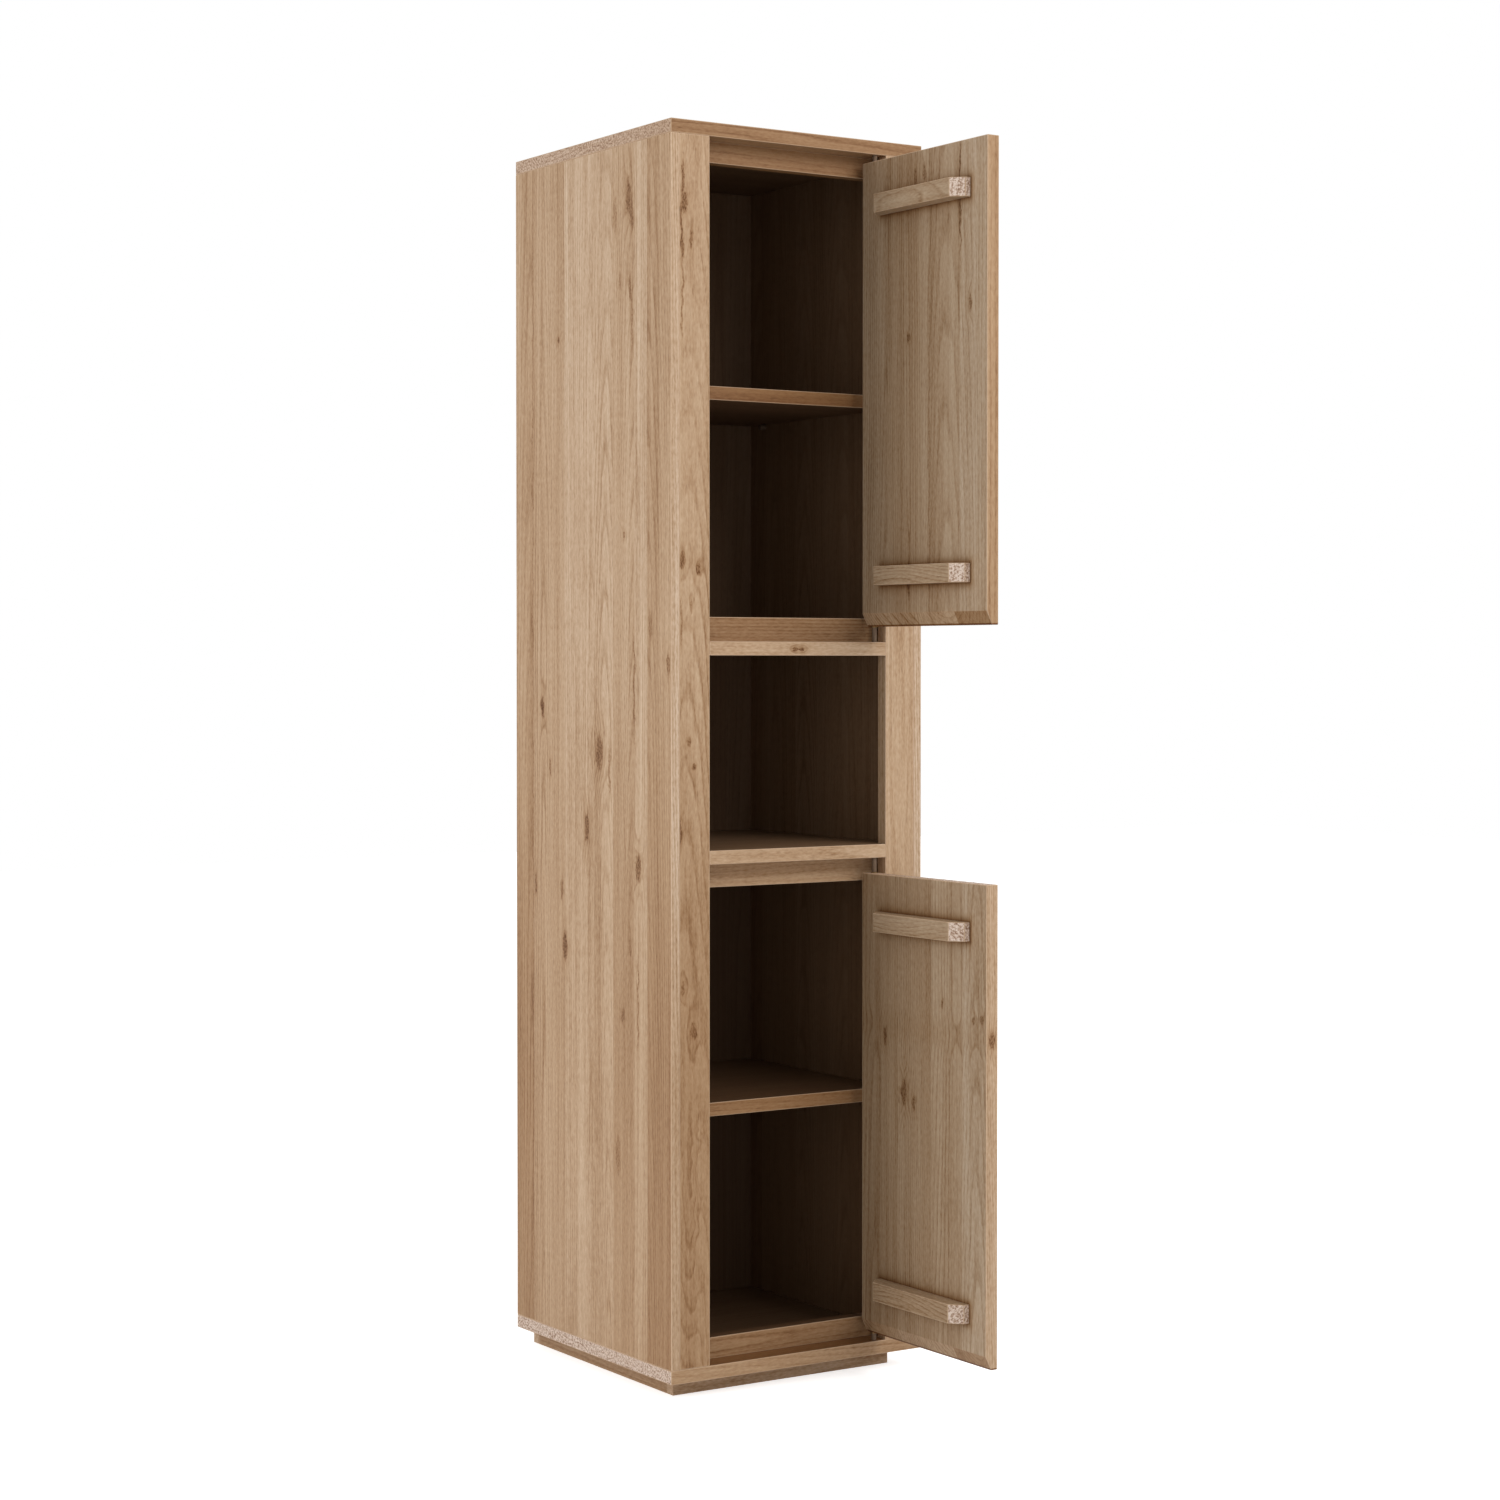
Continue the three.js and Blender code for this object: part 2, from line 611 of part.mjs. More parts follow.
function addDoor(parent, cupboard) {
  const { name, doorBottom, doorTop } = cupboard;
  const door = new THREE.Group();
  door.position.set(pivotX, pivotY, 0);
  door.rotation.z = THREE.MathUtils.degToRad(DOOR_OPEN_ANGLE);
  parent.add(door);

  const bores = [];
  for (const { name: pivot, doorEdge, towardsDoor } of
    pivotLevels.filter((level) => level.door === name)) {
    const orient = (geometry) =>
      (towardsDoor > 0 ? geometry.rotateX(Math.PI) : geometry).translate(0, 0, doorEdge);
    const depth = BUSH_LENGTH + BORE_EXTRA_DEPTH;
    const bore = roundBar(bushRadius + FIT_GAP, -depth, BORE_EXTRA_DEPTH, ROUND_SEGMENTS);
    bores.push(orient(bore));
    addPiece(door, `${pivot}_bush`, orient(bush()), brass);
  }
  addPiece(door, `${name}_door`, doorBoard(cupboard, bores), oak);

  const battens = [
    ['top', doorTop - BATTEN_FROM_TOP - BATTEN_HEIGHT],
    ['bottom', doorBottom + BATTEN_FROM_BOTTOM],
  ];
  for (const [place, underside] of battens) {
    const batten = uprightPrism(battenOutline(), underside, underside + BATTEN_HEIGHT, EDGE_EASE);
    addPiece(door, `${name}_door_${place}_batten`, batten, oak);
  }
}

// ---------------------------------------------------------------------------------------------
// Assembly
// ---------------------------------------------------------------------------------------------

addPlinth(part);
addTopAndBottomBoards(part);
addSidesAndStiles(part);
addNicheBoards(part);
addBackPanel(part);
addPivotPins(part);
for (const cupboard of cupboards) {
  addRails(part, cupboard);
  addShelf(part, cupboard);
  addShelfPins(part, cupboard);
  addDoorStop(part, cupboard);
  addDoor(part, cupboard);
}

export default part;
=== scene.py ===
# %% [markdown]
# # A solid-oak pantry cabinet
#
# The cabinet is a tall column of oak boards with an upper cupboard, an open niche, a lower
# cupboard and two doors that stand open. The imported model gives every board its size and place.
# This script turns those plain boards into oak: it builds each one again as a surface with soft
# edges, tells the surface which way the grain runs, and paints the wood with noise.

import json
import math

import bpy
import numpy as np
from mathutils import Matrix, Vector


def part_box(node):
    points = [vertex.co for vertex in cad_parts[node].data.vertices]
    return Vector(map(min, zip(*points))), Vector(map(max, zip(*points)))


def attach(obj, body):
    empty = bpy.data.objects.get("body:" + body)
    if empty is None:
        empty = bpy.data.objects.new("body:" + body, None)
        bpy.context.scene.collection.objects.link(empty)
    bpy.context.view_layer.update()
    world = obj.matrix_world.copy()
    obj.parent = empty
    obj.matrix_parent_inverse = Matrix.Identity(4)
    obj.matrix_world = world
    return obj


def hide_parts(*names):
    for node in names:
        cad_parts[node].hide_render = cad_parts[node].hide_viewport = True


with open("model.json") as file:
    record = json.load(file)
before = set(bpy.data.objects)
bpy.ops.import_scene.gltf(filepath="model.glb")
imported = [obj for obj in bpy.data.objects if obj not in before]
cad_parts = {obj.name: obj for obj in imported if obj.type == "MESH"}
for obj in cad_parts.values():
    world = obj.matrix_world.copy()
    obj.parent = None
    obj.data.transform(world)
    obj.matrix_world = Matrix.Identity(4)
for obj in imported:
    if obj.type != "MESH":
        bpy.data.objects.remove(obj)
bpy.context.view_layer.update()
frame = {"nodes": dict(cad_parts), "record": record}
behaviour = frame["record"]["behaviour"]

# %% [markdown]
# ## Where the boards are
#
# Keeping them in one dictionary, in metres, lets every later cell say "up to the back of the
# stile" instead of repeating a number. Each board also needs the body that it moves with and the
# finish that the record gives it.

# %% Corners, bodies and finishes
low = {name: np.array(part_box(name)[0]) for name in frame["nodes"]}
high = {name: np.array(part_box(name)[1]) for name in frame["nodes"]}
body_of = {node: body for body, nodes in behaviour["bodies"].items() for node in nodes}
finish_of = {entry["node"]: entry["material_slot"] for entry in frame["record"]["subparts"]}
print("case", high["top_board"][0] - low["top_board"][0], "m wide,", high["top_board"][2], "m high")

# %% [markdown]
# ## A board as a surface
#
# A cabinet maker planes a board flat and then breaks every edge with a few strokes of sandpaper.
# The broken edge is only a millimetre wide, but it catches the light and makes the board look
# real. Here a board is an outline swept along a straight line. Each corner of the outline becomes
# a small curve, and near both ends of the sweep the outline shrinks, so the end edges are broken
# as well. The sweep is a grid of points: one parameter runs round the outline, the other along.

# %% Outline with softened corners
ARC = np.linspace(0.0, 1.0, 4)


def inward_normals(corners):
    """Unit normals of an outline's edges, pointing in, for corners listed anticlockwise."""
    edges = np.roll(corners, -1, axis=0) - corners
    edges /= np.linalg.norm(edges, axis=1, keepdims=True)
    return np.stack([-edges[:, 1], edges[:, 0]], axis=1)


def soft_outline(corners, radii, inset):
    """Each corner P becomes the curve (1-t)^2 A + 2t(1-t) P + t^2 B, where A and B lie one radius
    from P on the edges that meet there. First the whole outline moves in by the inset."""
    normals = inward_normals(corners)
    before = np.roll(normals, 1, axis=0)
    share = 1.0 + np.sum(before * normals, axis=1, keepdims=True)
    corners = corners + inset * (before + normals) / share
    forward = np.roll(corners, -1, axis=0) - corners
    backward = np.roll(corners, 1, axis=0) - corners
    forward /= np.linalg.norm(forward, axis=1, keepdims=True)
    backward /= np.linalg.norm(backward, axis=1, keepdims=True)
    start = corners + backward * radii[:, None]
    end = corners + forward * radii[:, None]
    t = ARC[None, :, None]
    curve = (1 - t) ** 2 * start[:, None] + 2 * t * (1 - t) * corners[:, None] + t**2 * end[:, None]
    return curve.reshape(-1, 2)


# %% [markdown]
# Wide panels are glued up from several staves, because one tree rarely gives a board half a metre
# wide. Each stave has its own colour and its own figure. The outline gets an extra corner where
# two staves meet, so that no face of the surface lies across a glue line.

# %% Glue lines
TOUCH = 0.0001


def split_at(corners, places, k):
    """Adds a corner wherever an edge of the outline crosses one of the places in coordinate k,
    unless the edge has an end within TOUCH of it."""
    out = []
    for here, there in zip(corners, np.roll(corners, -1, axis=0)):
        first, last = sorted((here[k], there[k]))
        crossed = [p for p in places if first < p - TOUCH and p + TOUCH < last]
        share = sorted((p - here[k]) / (there[k] - here[k]) for p in crossed)
        out += [here] + [here + s * (there - here) for s in share]
    return np.array(out)


# %% [markdown]
# The sweep itself. The letters in `axes` say which coordinates the outline's two directions and
# the sweep use: "xyz" draws the outline on the floor plan and sweeps it upwards, "yzx" draws it
# on the side view and sweeps it to the right. The function also says, face by face, whether a
# face is part of a broken edge. Stations are extra rings on the way, where the colour may change.
#
# EASE is how far a broken edge reaches from its corner on a board, SMALL_EASE on a small piece,
# and FAINT where the outline has a corner that isn't an outside edge.

# %% Sweep
EASE, SMALL_EASE, FAINT = 0.0012, 0.0006, 0.0002
END_RINGS = 4
LEFT_TURN = 0.1


def grid_faces(m, n):
    """Quads between m rings of n points, and the two end rings as flat caps."""
    i, j = np.meshgrid(np.arange(m - 1), np.arange(n), indexing="ij")
    k = (j + 1) % n
    quads = np.stack([i * n + j, i * n + k, (i + 1) * n + k, (i + 1) * n + j], axis=-1).reshape(-1, 4)
    return quads, [np.arange(n)[::-1], (m - 1) * n + np.arange(n)]


def outside_corners(corners):
    """Whether the outline turns left at each corner, which is where a board has an outside edge."""
    normals = inward_normals(corners)
    return np.cross(np.roll(normals, 1, axis=0), normals) > LEFT_TURN


def on_curves(outside):
    """For each outline point, whether the face that starts there lies on a softened corner."""
    place = np.arange(len(outside) * len(ARC)) % len(ARC)
    return np.repeat(outside, len(ARC)) & (place != len(ARC) - 1)


def end_rings(corners, outside, ease):
    """The outlines near an end, from the end inwards, and how far from the end each one lies: at
    the angle a it is drawn in by ease (1 - sin a) and lies ease (1 - cos a) from the end."""
    radii = np.where(outside, ease, FAINT)
    a = np.linspace(0, math.pi / 2, END_RINGS)
    insets, steps = ease * (1 - np.sin(a)), ease * (1 - np.cos(a))
    rings = [soft_outline(corners, np.maximum(radii - 0.6 * inset, FAINT), inset) for inset in insets]
    return rings, steps


def sweep(corners, start, stop, axes, places=(), across=None, ease=EASE, stations=()):
    """P(i, j) = outline point j, drawn in by ease (1 - sin a) and placed at start + ease (1 - cos a)
    near the first end, and the mirror image of that near the other end. Returns points, quads,
    the two end rings and a flag for the faces on a broken edge."""
    corners = np.asarray(corners, float)
    following = np.roll(corners, -1, axis=0)
    area = np.sum(corners[:, 0] * following[:, 1] - corners[:, 1] * following[:, 0])
    corners = corners if area > 0 else corners[::-1]
    if len(places):
        corners = split_at(corners, places, axes.index(across))
    outside = outside_corners(corners)
    ends, steps = end_rings(corners, outside, ease)
    rings = ends + [ends[-1]] * len(stations) + ends[::-1]
    along = np.concatenate([start + steps, np.asarray(stations, float), stop - steps[::-1]])
    flat = np.stack(rings)
    m, n = flat.shape[:2]
    points = np.empty((m, n, 3))
    order = ["xyz".index(letter) for letter in axes]
    points[:, :, order[0]] = flat[:, :, 0]
    points[:, :, order[1]] = flat[:, :, 1]
    points[:, :, order[2]] = along[:, None]

    quads, caps = grid_faces(m, n)
    ring = np.arange(m - 1)
    near_end = (ring < len(ends) - 1) | (ring >= m - len(ends))
    broken = (on_curves(outside)[None, :] | near_end[:, None]).reshape(-1)
    return points.reshape(-1, 3), quads, caps, np.append(broken, [False, False])


# %% [markdown]
# ## What a board knows about its wood
#
# The wood shader needs a few facts that it can't see by itself. They are stored on the mesh:
#
# - `grain`: the point, measured along the grain, across it and through the board's thickness
# - `section`: the same point across and through, measured from the middle of its stave
# - `stave`: a number that tells one stave from another, so that each gets its own figure
# - `deep`: how deep the colour is; 0 is pale oak, 1 is a warm brown, below 0 is sapwood;
#   painted shade in recesses, on rails and shelves and along the doors' lowest edges adds to it
# - `end`: 1 where the saw cut across the fibres, which shows rings and pores instead of streaks
# - `inner`: how deep the painted shade is on the walls inside the case; 0 is none
# - `arris`: 1 on the broken edges, which are painted paler as a highlight
# - `grey`: 1 on the faces of the doors and on the battens, whose oak is a cooler brown

# %% Walls inside the case
MARGIN = 0.0005
HALF_INSIDE = low["side_panel_right"][0] + MARGIN
UNDER_RAILS = 0.5 * (low["upper_floor_rail"][1] + high["upper_floor_rail"][1])
NICHE_FRONT = low["niche_floor_board"][1] + MARGIN
BACK_WALL = low["back_panel"][1] + MARGIN
NICHE = (high["niche_floor_board"][2] - MARGIN, low["niche_ceiling_board"][2] + MARGIN)
INSIDE_Z = (high["bottom_board"][2] - MARGIN, low["top_board"][2] + MARGIN)
# Depths of the painted shade inside the case, where a board differs from 1.
INSIDE_SHADE_DEPTHS = {"side_panel_right": 0.8, "niche_floor_board": 0.8, "bottom_board": 1.1}


def inner_walls(name, centre, normal):
    """The depth of painted shade for the faces that look into the case: everything behind the middle
    of the rails, and in the niche the boards above and below it from their front edges on. Front
    faces stay pale, which is depth 0, except the back panel's. The back panel gets more painted
    shade below the niche, and the right side less beside it."""
    x, y, z = centre.T
    in_case = (np.abs(x) < HALF_INSIDE) & (z > INSIDE_Z[0]) & (z < INSIDE_Z[1]) & (y < BACK_WALL)
    at_niche = (z > NICHE[0]) & (z < NICHE[1])
    level = np.abs(normal[:, 2]) > 0.5
    pale_front = (normal[:, 1] < -0.3) & (y < BACK_WALL - 2 * MARGIN)
    shown = in_case & ((y > UNDER_RAILS) | (at_niche & level & (y > NICHE_FRONT))) & ~pale_front
    painted_shade = INSIDE_SHADE_DEPTHS.get(name, 1.0)
    if name == "back_panel":
        painted_shade = painted_shade + 0.35 * (z < NICHE[0])
    if name == "side_panel_right":
        painted_shade = painted_shade - 0.2 * at_niche
    return shown * painted_shade


# %% [markdown]
# Colour varies from stave to stave, and in some staves from the foot of the cabinet to its top.
# The depth of a stave is then a pair: its value below the first height of FADE and its value
# above the second. A front edge may have a depth of its own, over the first FRONT_BAND of the
# board, and FRONT_CUT is where the faces beside it are divided for that.

# %% Board object
FADE = (0.55, 1.15)
FRONT_BAND, FRONT_CUT = 0.0012, 0.002
STAVE_STEP = 0.37


def store(mesh, name, domain, values):
    values = np.asarray(values, np.float32)
    kind, part = ("FLOAT_VECTOR", "vector") if values.ndim == 2 else ("FLOAT", "value")
    mesh.attributes.new(name, kind, domain).data.foreach_set(part, values.ravel())


def stave_at(bounds, places):
    """The number of the stave that each place lies in."""
    return np.clip(np.searchsorted(bounds, places) - 1, 0, len(bounds) - 2)


def board_object(name, surface, grain_axes, joints=(), depths=(0.0,), seed=0, edge_depth=None, more=0.0):
    """Makes the object for a CAD board of the same name. grain_axes lists the along, across and
    through directions; joints and depths describe its staves from low to high coordinate.
    edge_depth is the depth of its front edge, where that differs from the stave's own, and more
    is depth added point by point."""
    points, quads, caps, broken = surface
    mesh = bpy.data.meshes.new(name + "_oak")
    mesh.from_pydata(points, [], quads.tolist() + [cap.tolist() for cap in caps])
    mesh.validate()
    centre, normal = np.empty(len(mesh.polygons) * 3), np.empty(len(mesh.polygons) * 3)
    mesh.polygons.foreach_get("center", centre)
    mesh.polygons.foreach_get("normal", normal)
    centre, normal = centre.reshape(-1, 3), normal.reshape(-1, 3)

    along, across, through = ("xyz".index(letter) for letter in grain_axes)
    bounds = np.concatenate([[low[name][across]], np.asarray(joints, float), [high[name][across]]])
    middles = 0.5 * (bounds[1:] + bounds[:-1])
    own = stave_at(bounds, points[:, across])
    mid = 0.5 * (low[name][through] + high[name][through])
    pairs = np.array([depth if np.ndim(depth) else (depth, depth) for depth in depths], float)
    share = np.clip((points[:, 2] - FADE[0]) / (FADE[1] - FADE[0]), 0, 1)
    deep = pairs[own, 0] * (1 - share) + pairs[own, 1] * share
    if edge_depth is not None:
        deep = np.where(points[:, 1] < low[name][1] + FRONT_BAND, edge_depth, deep)
    deep = deep + more
    section = np.stack([points[:, across] - middles[own], points[:, through] - mid, 0 * deep], 1)
    store(mesh, "grain", "POINT", points[:, [along, across, through]])
    store(mesh, "section", "POINT", section)
    store(mesh, "deep", "POINT", deep)
    store(mesh, "stave", "FACE", seed + STAVE_STEP * stave_at(bounds, centre[:, across]))
    cut = (np.abs(normal[:, along]) > 0.6) & ~broken & (not name.startswith("plinth"))
    store(mesh, "end", "FACE", cut)
    store(mesh, "inner", "FACE", inner_walls(name, centre, normal))
    store(mesh, "arris", "FACE", broken)
    faces_in = np.clip((np.abs(normal[:, 0]) - 0.8) / 0.2, 0, 1) if name.endswith("door") else 1.0
    store(mesh, "grey", "FACE", faces_in * ("door" in name) * np.ones(len(centre)))
    mesh.shade_flat()

    board = bpy.data.objects.new(name + "_oak", mesh)
    bpy.context.scene.collection.objects.link(board)
    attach(board, body_of[name])
    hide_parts(name)
    boards[name] = board
    return board


boards = {}

# %% [markdown]
# ## Plain rectangular boards
#
# Rails, shelves and plinth boards are rectangles. The grain runs along the longest side, because
# wood is strong in that direction and hardly shrinks along it. The rails and shelves of a
# cupboard are drawn browner than the outside of the cabinet, as painted shade inside the
# openings. The plinth is stained all over, so its corners show no end grain.

# %% Rectangles from corner to corner
TOP_BAND = 0.0003


def rectangle(name, axes):
    """The board's outline seen along the last letter of axes, and the two ends of the sweep."""
    a, b, c = ("xyz".index(letter) for letter in axes)
    lo, hi = low[name], high[name]
    corners = [(lo[a], lo[b]), (hi[a], lo[b]), (hi[a], hi[b]), (lo[a], hi[b])]
    return corners, lo[c], hi[c]


def plain_board(name, axes, grain_axes, joints=(), depths=(0.0,), seed=0, ease=EASE, cuts=(), stations=(),
                front=0.0, recess=0.0):
    """front is depth added on the front face, recess is painted shade added on the top face as far
    back as the rails.
    """
    corners, start, stop = rectangle(name, axes)
    places = sorted([*joints, *cuts])
    surface = sweep(corners, start, stop, axes, places, grain_axes[1], ease, stations)
    _, y, z = surface[0].T
    behind_front = y > low[name][1] + FRONT_BAND - TOUCH
    above = (z > high[name][2] - TOP_BAND) & behind_front & (y < UNDER_RAILS + MARGIN)
    more = front * (y < low[name][1] + FRONT_BAND) + recess * above
    return board_object(name, surface, grain_axes, joints, depths, seed, more=more)


# %% Rails, shelves, plinth and door stops
# The depths of rails and shelves are painted shade for their place inside the openings.
rail_shade_depths = {
    "upper_ceiling_rail": 1.9, "upper_floor_rail": 1.25, "lower_ceiling_rail": 0.65, "lower_floor_rail": 1.4,
}
shelf_shade_depths = {"upper_shelf": (2.55, 1.4, 1.7, 1.3), "lower_shelf": (1.85, 1.4, 1.7, 1.3)}
shelf_staves = (0.09, 0.19, 0.3)
for i, (name, depth) in enumerate(rail_shade_depths.items()):
    plain_board(name, "yzx", "xzy", depths=(depth,), seed=11 + i)
for i, (name, depths) in enumerate(shelf_shade_depths.items()):
    joints = [low[name][1] + d for d in shelf_staves]
    plain_board(name, "yzx", "xyz", joints, depths, seed=21 + i)
for i, name in enumerate(("plinth_front", "plinth_back", "plinth_bearer")):
    plain_board(name, "yzx", "xzy", depths=(-0.1,), seed=31 + i, ease=SMALL_EASE)
for i, name in enumerate(("plinth_side_left", "plinth_side_right")):
    plain_board(name, "zxy", "yzx", depths=(0.6,), seed=36 + i, ease=SMALL_EASE)
for i, name in enumerate(n for n in frame["nodes"] if n.startswith("plinth_block")):
    plain_board(name, "xyz", "xyz", depths=(0.8,), seed=41 + i, ease=SMALL_EASE)
for i, name in enumerate(("upper_stop_block", "lower_stop_block")):
    plain_board(name, "yzx", "yzx", depths=(1.0,), seed=46 + i, ease=SMALL_EASE)

# %% [markdown]
# ## Top, bottom and back
#
# The top and bottom boards lie over the ends of the sides, so their own ends show on the left and
# right as end grain. Both are glued from five staves. The strip of the bottom board that lies in
# front of the lowest rail is darker than the rail, with painted shade in that recess. The back
# panel's staves stand upright.

# %% Top, bottom and back boards
GLUED_STAVES = (0.085, 0.19, 0.3, 0.4)


def glued_board(name, depths, front, recess, seed):
    joints = [low[name][1] + d for d in GLUED_STAVES]
    cuts = (low[name][1] + FRONT_CUT, UNDER_RAILS)
    plain_board(name, "yzx", "xyz", joints, depths, seed, cuts=cuts, front=front, recess=recess)


glued_board("top_board", (0.9, 0.7, 0.5, 0.75, 0.6), 0.7, 0.0, 51)
# The bottom board's recess depth of 2.5 is painted shade in front of the lowest rail.
glued_board("bottom_board", (0.4, 0.3, 0.1, 0.35, 0.2), 0.3, 2.5, 52)

back_joints = (-0.13, -0.04, 0.06, 0.166)
back_depths = (0.3, -0.1, 0.4, 0.1, -0.5)
plain_board("back_panel", "xyz", "zxy", back_joints, back_depths, seed=55, stations=NICHE)

# %% [markdown]
# ## Niche boards
#
# Seen from above, a niche board is shaped like a T: its front runs between the two stiles and
# comes flush with them, and its body fills the full width behind them.

# %% T-shaped boards
def halves(cap, p, q):
    """Cuts a flat cap along the line from its point p to its point q, which comes later."""
    return [cap[p:q + 1], np.concatenate([cap[q:], cap[:p + 1]])]


def niche_board(name, depth, seed):
    """The flat faces are cut in two under the rails, where the painted shade inside begins."""
    lo, hi = low[name], high[name]
    stile_in, stile_back = low["stile_right"][0], high["stile_right"][1]
    corners = [
        (-stile_in, lo[1]), (stile_in, lo[1]), (stile_in, stile_back), (hi[0], stile_back),
        (hi[0], UNDER_RAILS), (hi[0], hi[1]), (lo[0], hi[1]), (lo[0], UNDER_RAILS),
        (lo[0], stile_back), (-stile_in, stile_back),
    ]
    points, quads, (foot, head), broken = sweep(corners, lo[2], hi[2], "xyz")
    p, q = (len(ARC) * corners.index((x, UNDER_RAILS)) + 1 for x in (hi[0], lo[0]))
    caps = [cap[::-1] for cap in halves(foot[::-1], p, q)] + halves(head, p, q)
    surface = points, quads, caps, np.append(broken, [False, False])
    return board_object(name, surface, "xyz", depths=(depth,), seed=seed)


niche_board("niche_ceiling_board", 0.1, 61)
niche_board("niche_floor_board", 0.25, 62)

# %% [markdown]
# ## Sides and stiles
#
# A side panel is half a metre deep. Its front edge is rebated, so that only the outer 15 mm of it
# show beside the stile, and its back edge is rebated for the back panel. The staves are listed
# from the front edge to the back. The palest one holds some sapwood, the outermost wood of the
# tree, which is lighter than the heartwood beside it. The staves at the front and at the back
# are browner than the others, above all near the foot. The front edge is paler beside the
# niche.

# %% Side panels
SIDE_EASE, SIDE_EDGE_DEPTH, FIT_GAP = 0.001, 0.05, 0.0003
SIDE_JOINTS = [low["side_panel_left"][1] + d for d in (0.072, 0.112, 0.178, 0.239, 0.335, 0.442)]
SIDE_DEPTHS = ((1.3, 0.42), (0.45, 0.0), (0.7, 0.2), (0.3, 0.0), (0.2, -0.1), (0.45, 0.2), (1.2, 0.4))


def faces_beside(name, side):
    """Where the inner and the outer face of an upright board lie, left or right of the middle."""
    return [side * x for x in sorted((abs(low[name][0]), abs(high[name][0])))]


def side_panel(name, side, seed):
    lo, hi = low[name], high[name]
    stile = "stile_right" if side > 0 else "stile_left"
    inner, outer = faces_beside(name, side)
    stile_outer = faces_beside(stile, side)[1]
    rebate = side * (high["back_panel"][0] + FIT_GAP)
    front, back = lo[1], hi[1]
    stile_back, panel_front = high[stile][1], low["back_panel"][1]
    corners = [
        (outer, front), (stile_outer, front), (stile_outer, stile_back), (inner, stile_back),
        (inner, panel_front), (rebate, panel_front), (rebate, back), (outer, back),
    ]
    levels = (FADE[0], NICHE[0], FADE[1], NICHE[1])
    places = [front + FRONT_CUT, *SIDE_JOINTS]
    surface = sweep(corners, lo[2], hi[2], "xyz", places, "y", SIDE_EASE, levels)
    _, y, z = surface[0].T
    pale = (y < front + FRONT_BAND) & (z > NICHE[0] - MARGIN) & (z < NICHE[1] + MARGIN)
    return board_object(name, surface, "zyx", SIDE_JOINTS, SIDE_DEPTHS, seed, SIDE_EDGE_DEPTH, -0.45 * pale)


side_panel("side_panel_left", -1, 71)
side_panel("side_panel_right", 1, 72)

# %% [markdown]
# The stiles frame the openings. Both turn browner towards the foot, the left one above all.

# %% Stiles
def stile(name, depth, seed):
    corners, start, stop = rectangle(name, "xyz")
    surface = sweep(corners, start, stop, "xyz", stations=FADE)
    return board_object(name, surface, "zxy", depths=(depth,), seed=seed)


stile("stile_left", (1.0, 0.35), 81)
stile("stile_right", (0.55, 0.2), 82)

# %% [markdown]
# ## Doors
#
# A door is glued from upright staves. Its inner lower edge is planed away to a slope, and on the
# upper door fingers take hold there. Holes for the pivots are bored in its top and bottom edges.
# The surface starts at the end of the lower bore, comes out of it, spreads over the bottom edge
# to the outline, climbs the faces and goes back into the upper bore, so the whole door is one
# grid of points.

# %% Door surface
PIVOT = np.array(behaviour["joints"][0]["pos_m"][:2])
BORE_DEPTH = high["upper_door_bottom_bush"][2] - low["upper_door"][2] + 0.001
BORE_RADIUS, BORE_SPREAD = 0.0044, 0.0045
BEVEL_HEIGHT, BEVEL_DEPTH = 0.022, 0.011
GRIP_LENGTH, GRIP_BROWN = 0.085, 1.2
# The lowest few millimetres of each door are painted dark: painted shade along the bottom edge.
EDGE_SHADE_HEIGHT, EDGE_SHADE_DEPTH = 0.0026, 3.0


def door_surface(lo, hi, joints):
    """Ring by ring: P = outline point at height z, with x held back by the slope
    BEVEL_DEPTH (1 - h / BEVEL_HEIGHT) over the lowest stretch of the inner face. The first and
    last two rings are circles of the bore's radius, each point on the line to the pivot."""
    beside_pivot = PIVOT[1] + BORE_SPREAD * np.arange(-2, 3)
    corners = np.array([(lo[0], lo[1]), (hi[0], lo[1]), (hi[0], hi[1]), (lo[0], hi[1])])
    places = sorted([lo[1] + FRONT_CUT, lo[1] + GRIP_LENGTH, *joints, *beside_pivot])
    corners = split_at(corners, places, 1)
    outside = outside_corners(corners)
    rings, steps = end_rings(corners, outside, EASE)
    full = rings[-1]
    polar = np.arctan2(full[:, 1] - PIVOT[1], full[:, 0] - PIVOT[0])
    bore = PIVOT + BORE_RADIUS * np.stack([np.cos(polar), np.sin(polar)], axis=1)

    foot, head = lo[2], hi[2]
    rises = [EDGE_SHADE_HEIGHT, EDGE_SHADE_HEIGHT + 0.0004, BEVEL_HEIGHT - EASE, BEVEL_HEIGHT, BEVEL_HEIGHT + EASE]
    z = np.concatenate([
        [foot + BORE_DEPTH, foot], foot + steps, foot + np.array(rises),
        head - steps[::-1], [head, head - BORE_DEPTH],
    ])
    flat = np.stack([bore, bore] + rings + [full] * len(rises) + rings[::-1] + [bore, bore])
    m, n = flat.shape[:2]
    points = np.empty((m, n, 3))
    ramp = lo[0] + BEVEL_DEPTH * np.clip(1 - (z - foot) / BEVEL_HEIGHT, 0, 1)
    points[:, :, 0] = np.maximum(flat[:, :, 0], ramp[:, None])
    points[:, :, 1] = flat[:, :, 1]
    points[:, :, 2] = z[:, None]
    points[[0, 1, -2, -1], :, :2] = bore

    quads, caps = grid_faces(m, n)
    ring = np.arange(m - 1)
    near_top = (ring >= m - 2 - len(rings)) & (ring < m - 3)
    broken = (on_curves(outside)[None, :] | near_top[:, None]).reshape(-1)
    return points.reshape(-1, 3), quads, caps, np.append(broken, [False, False])


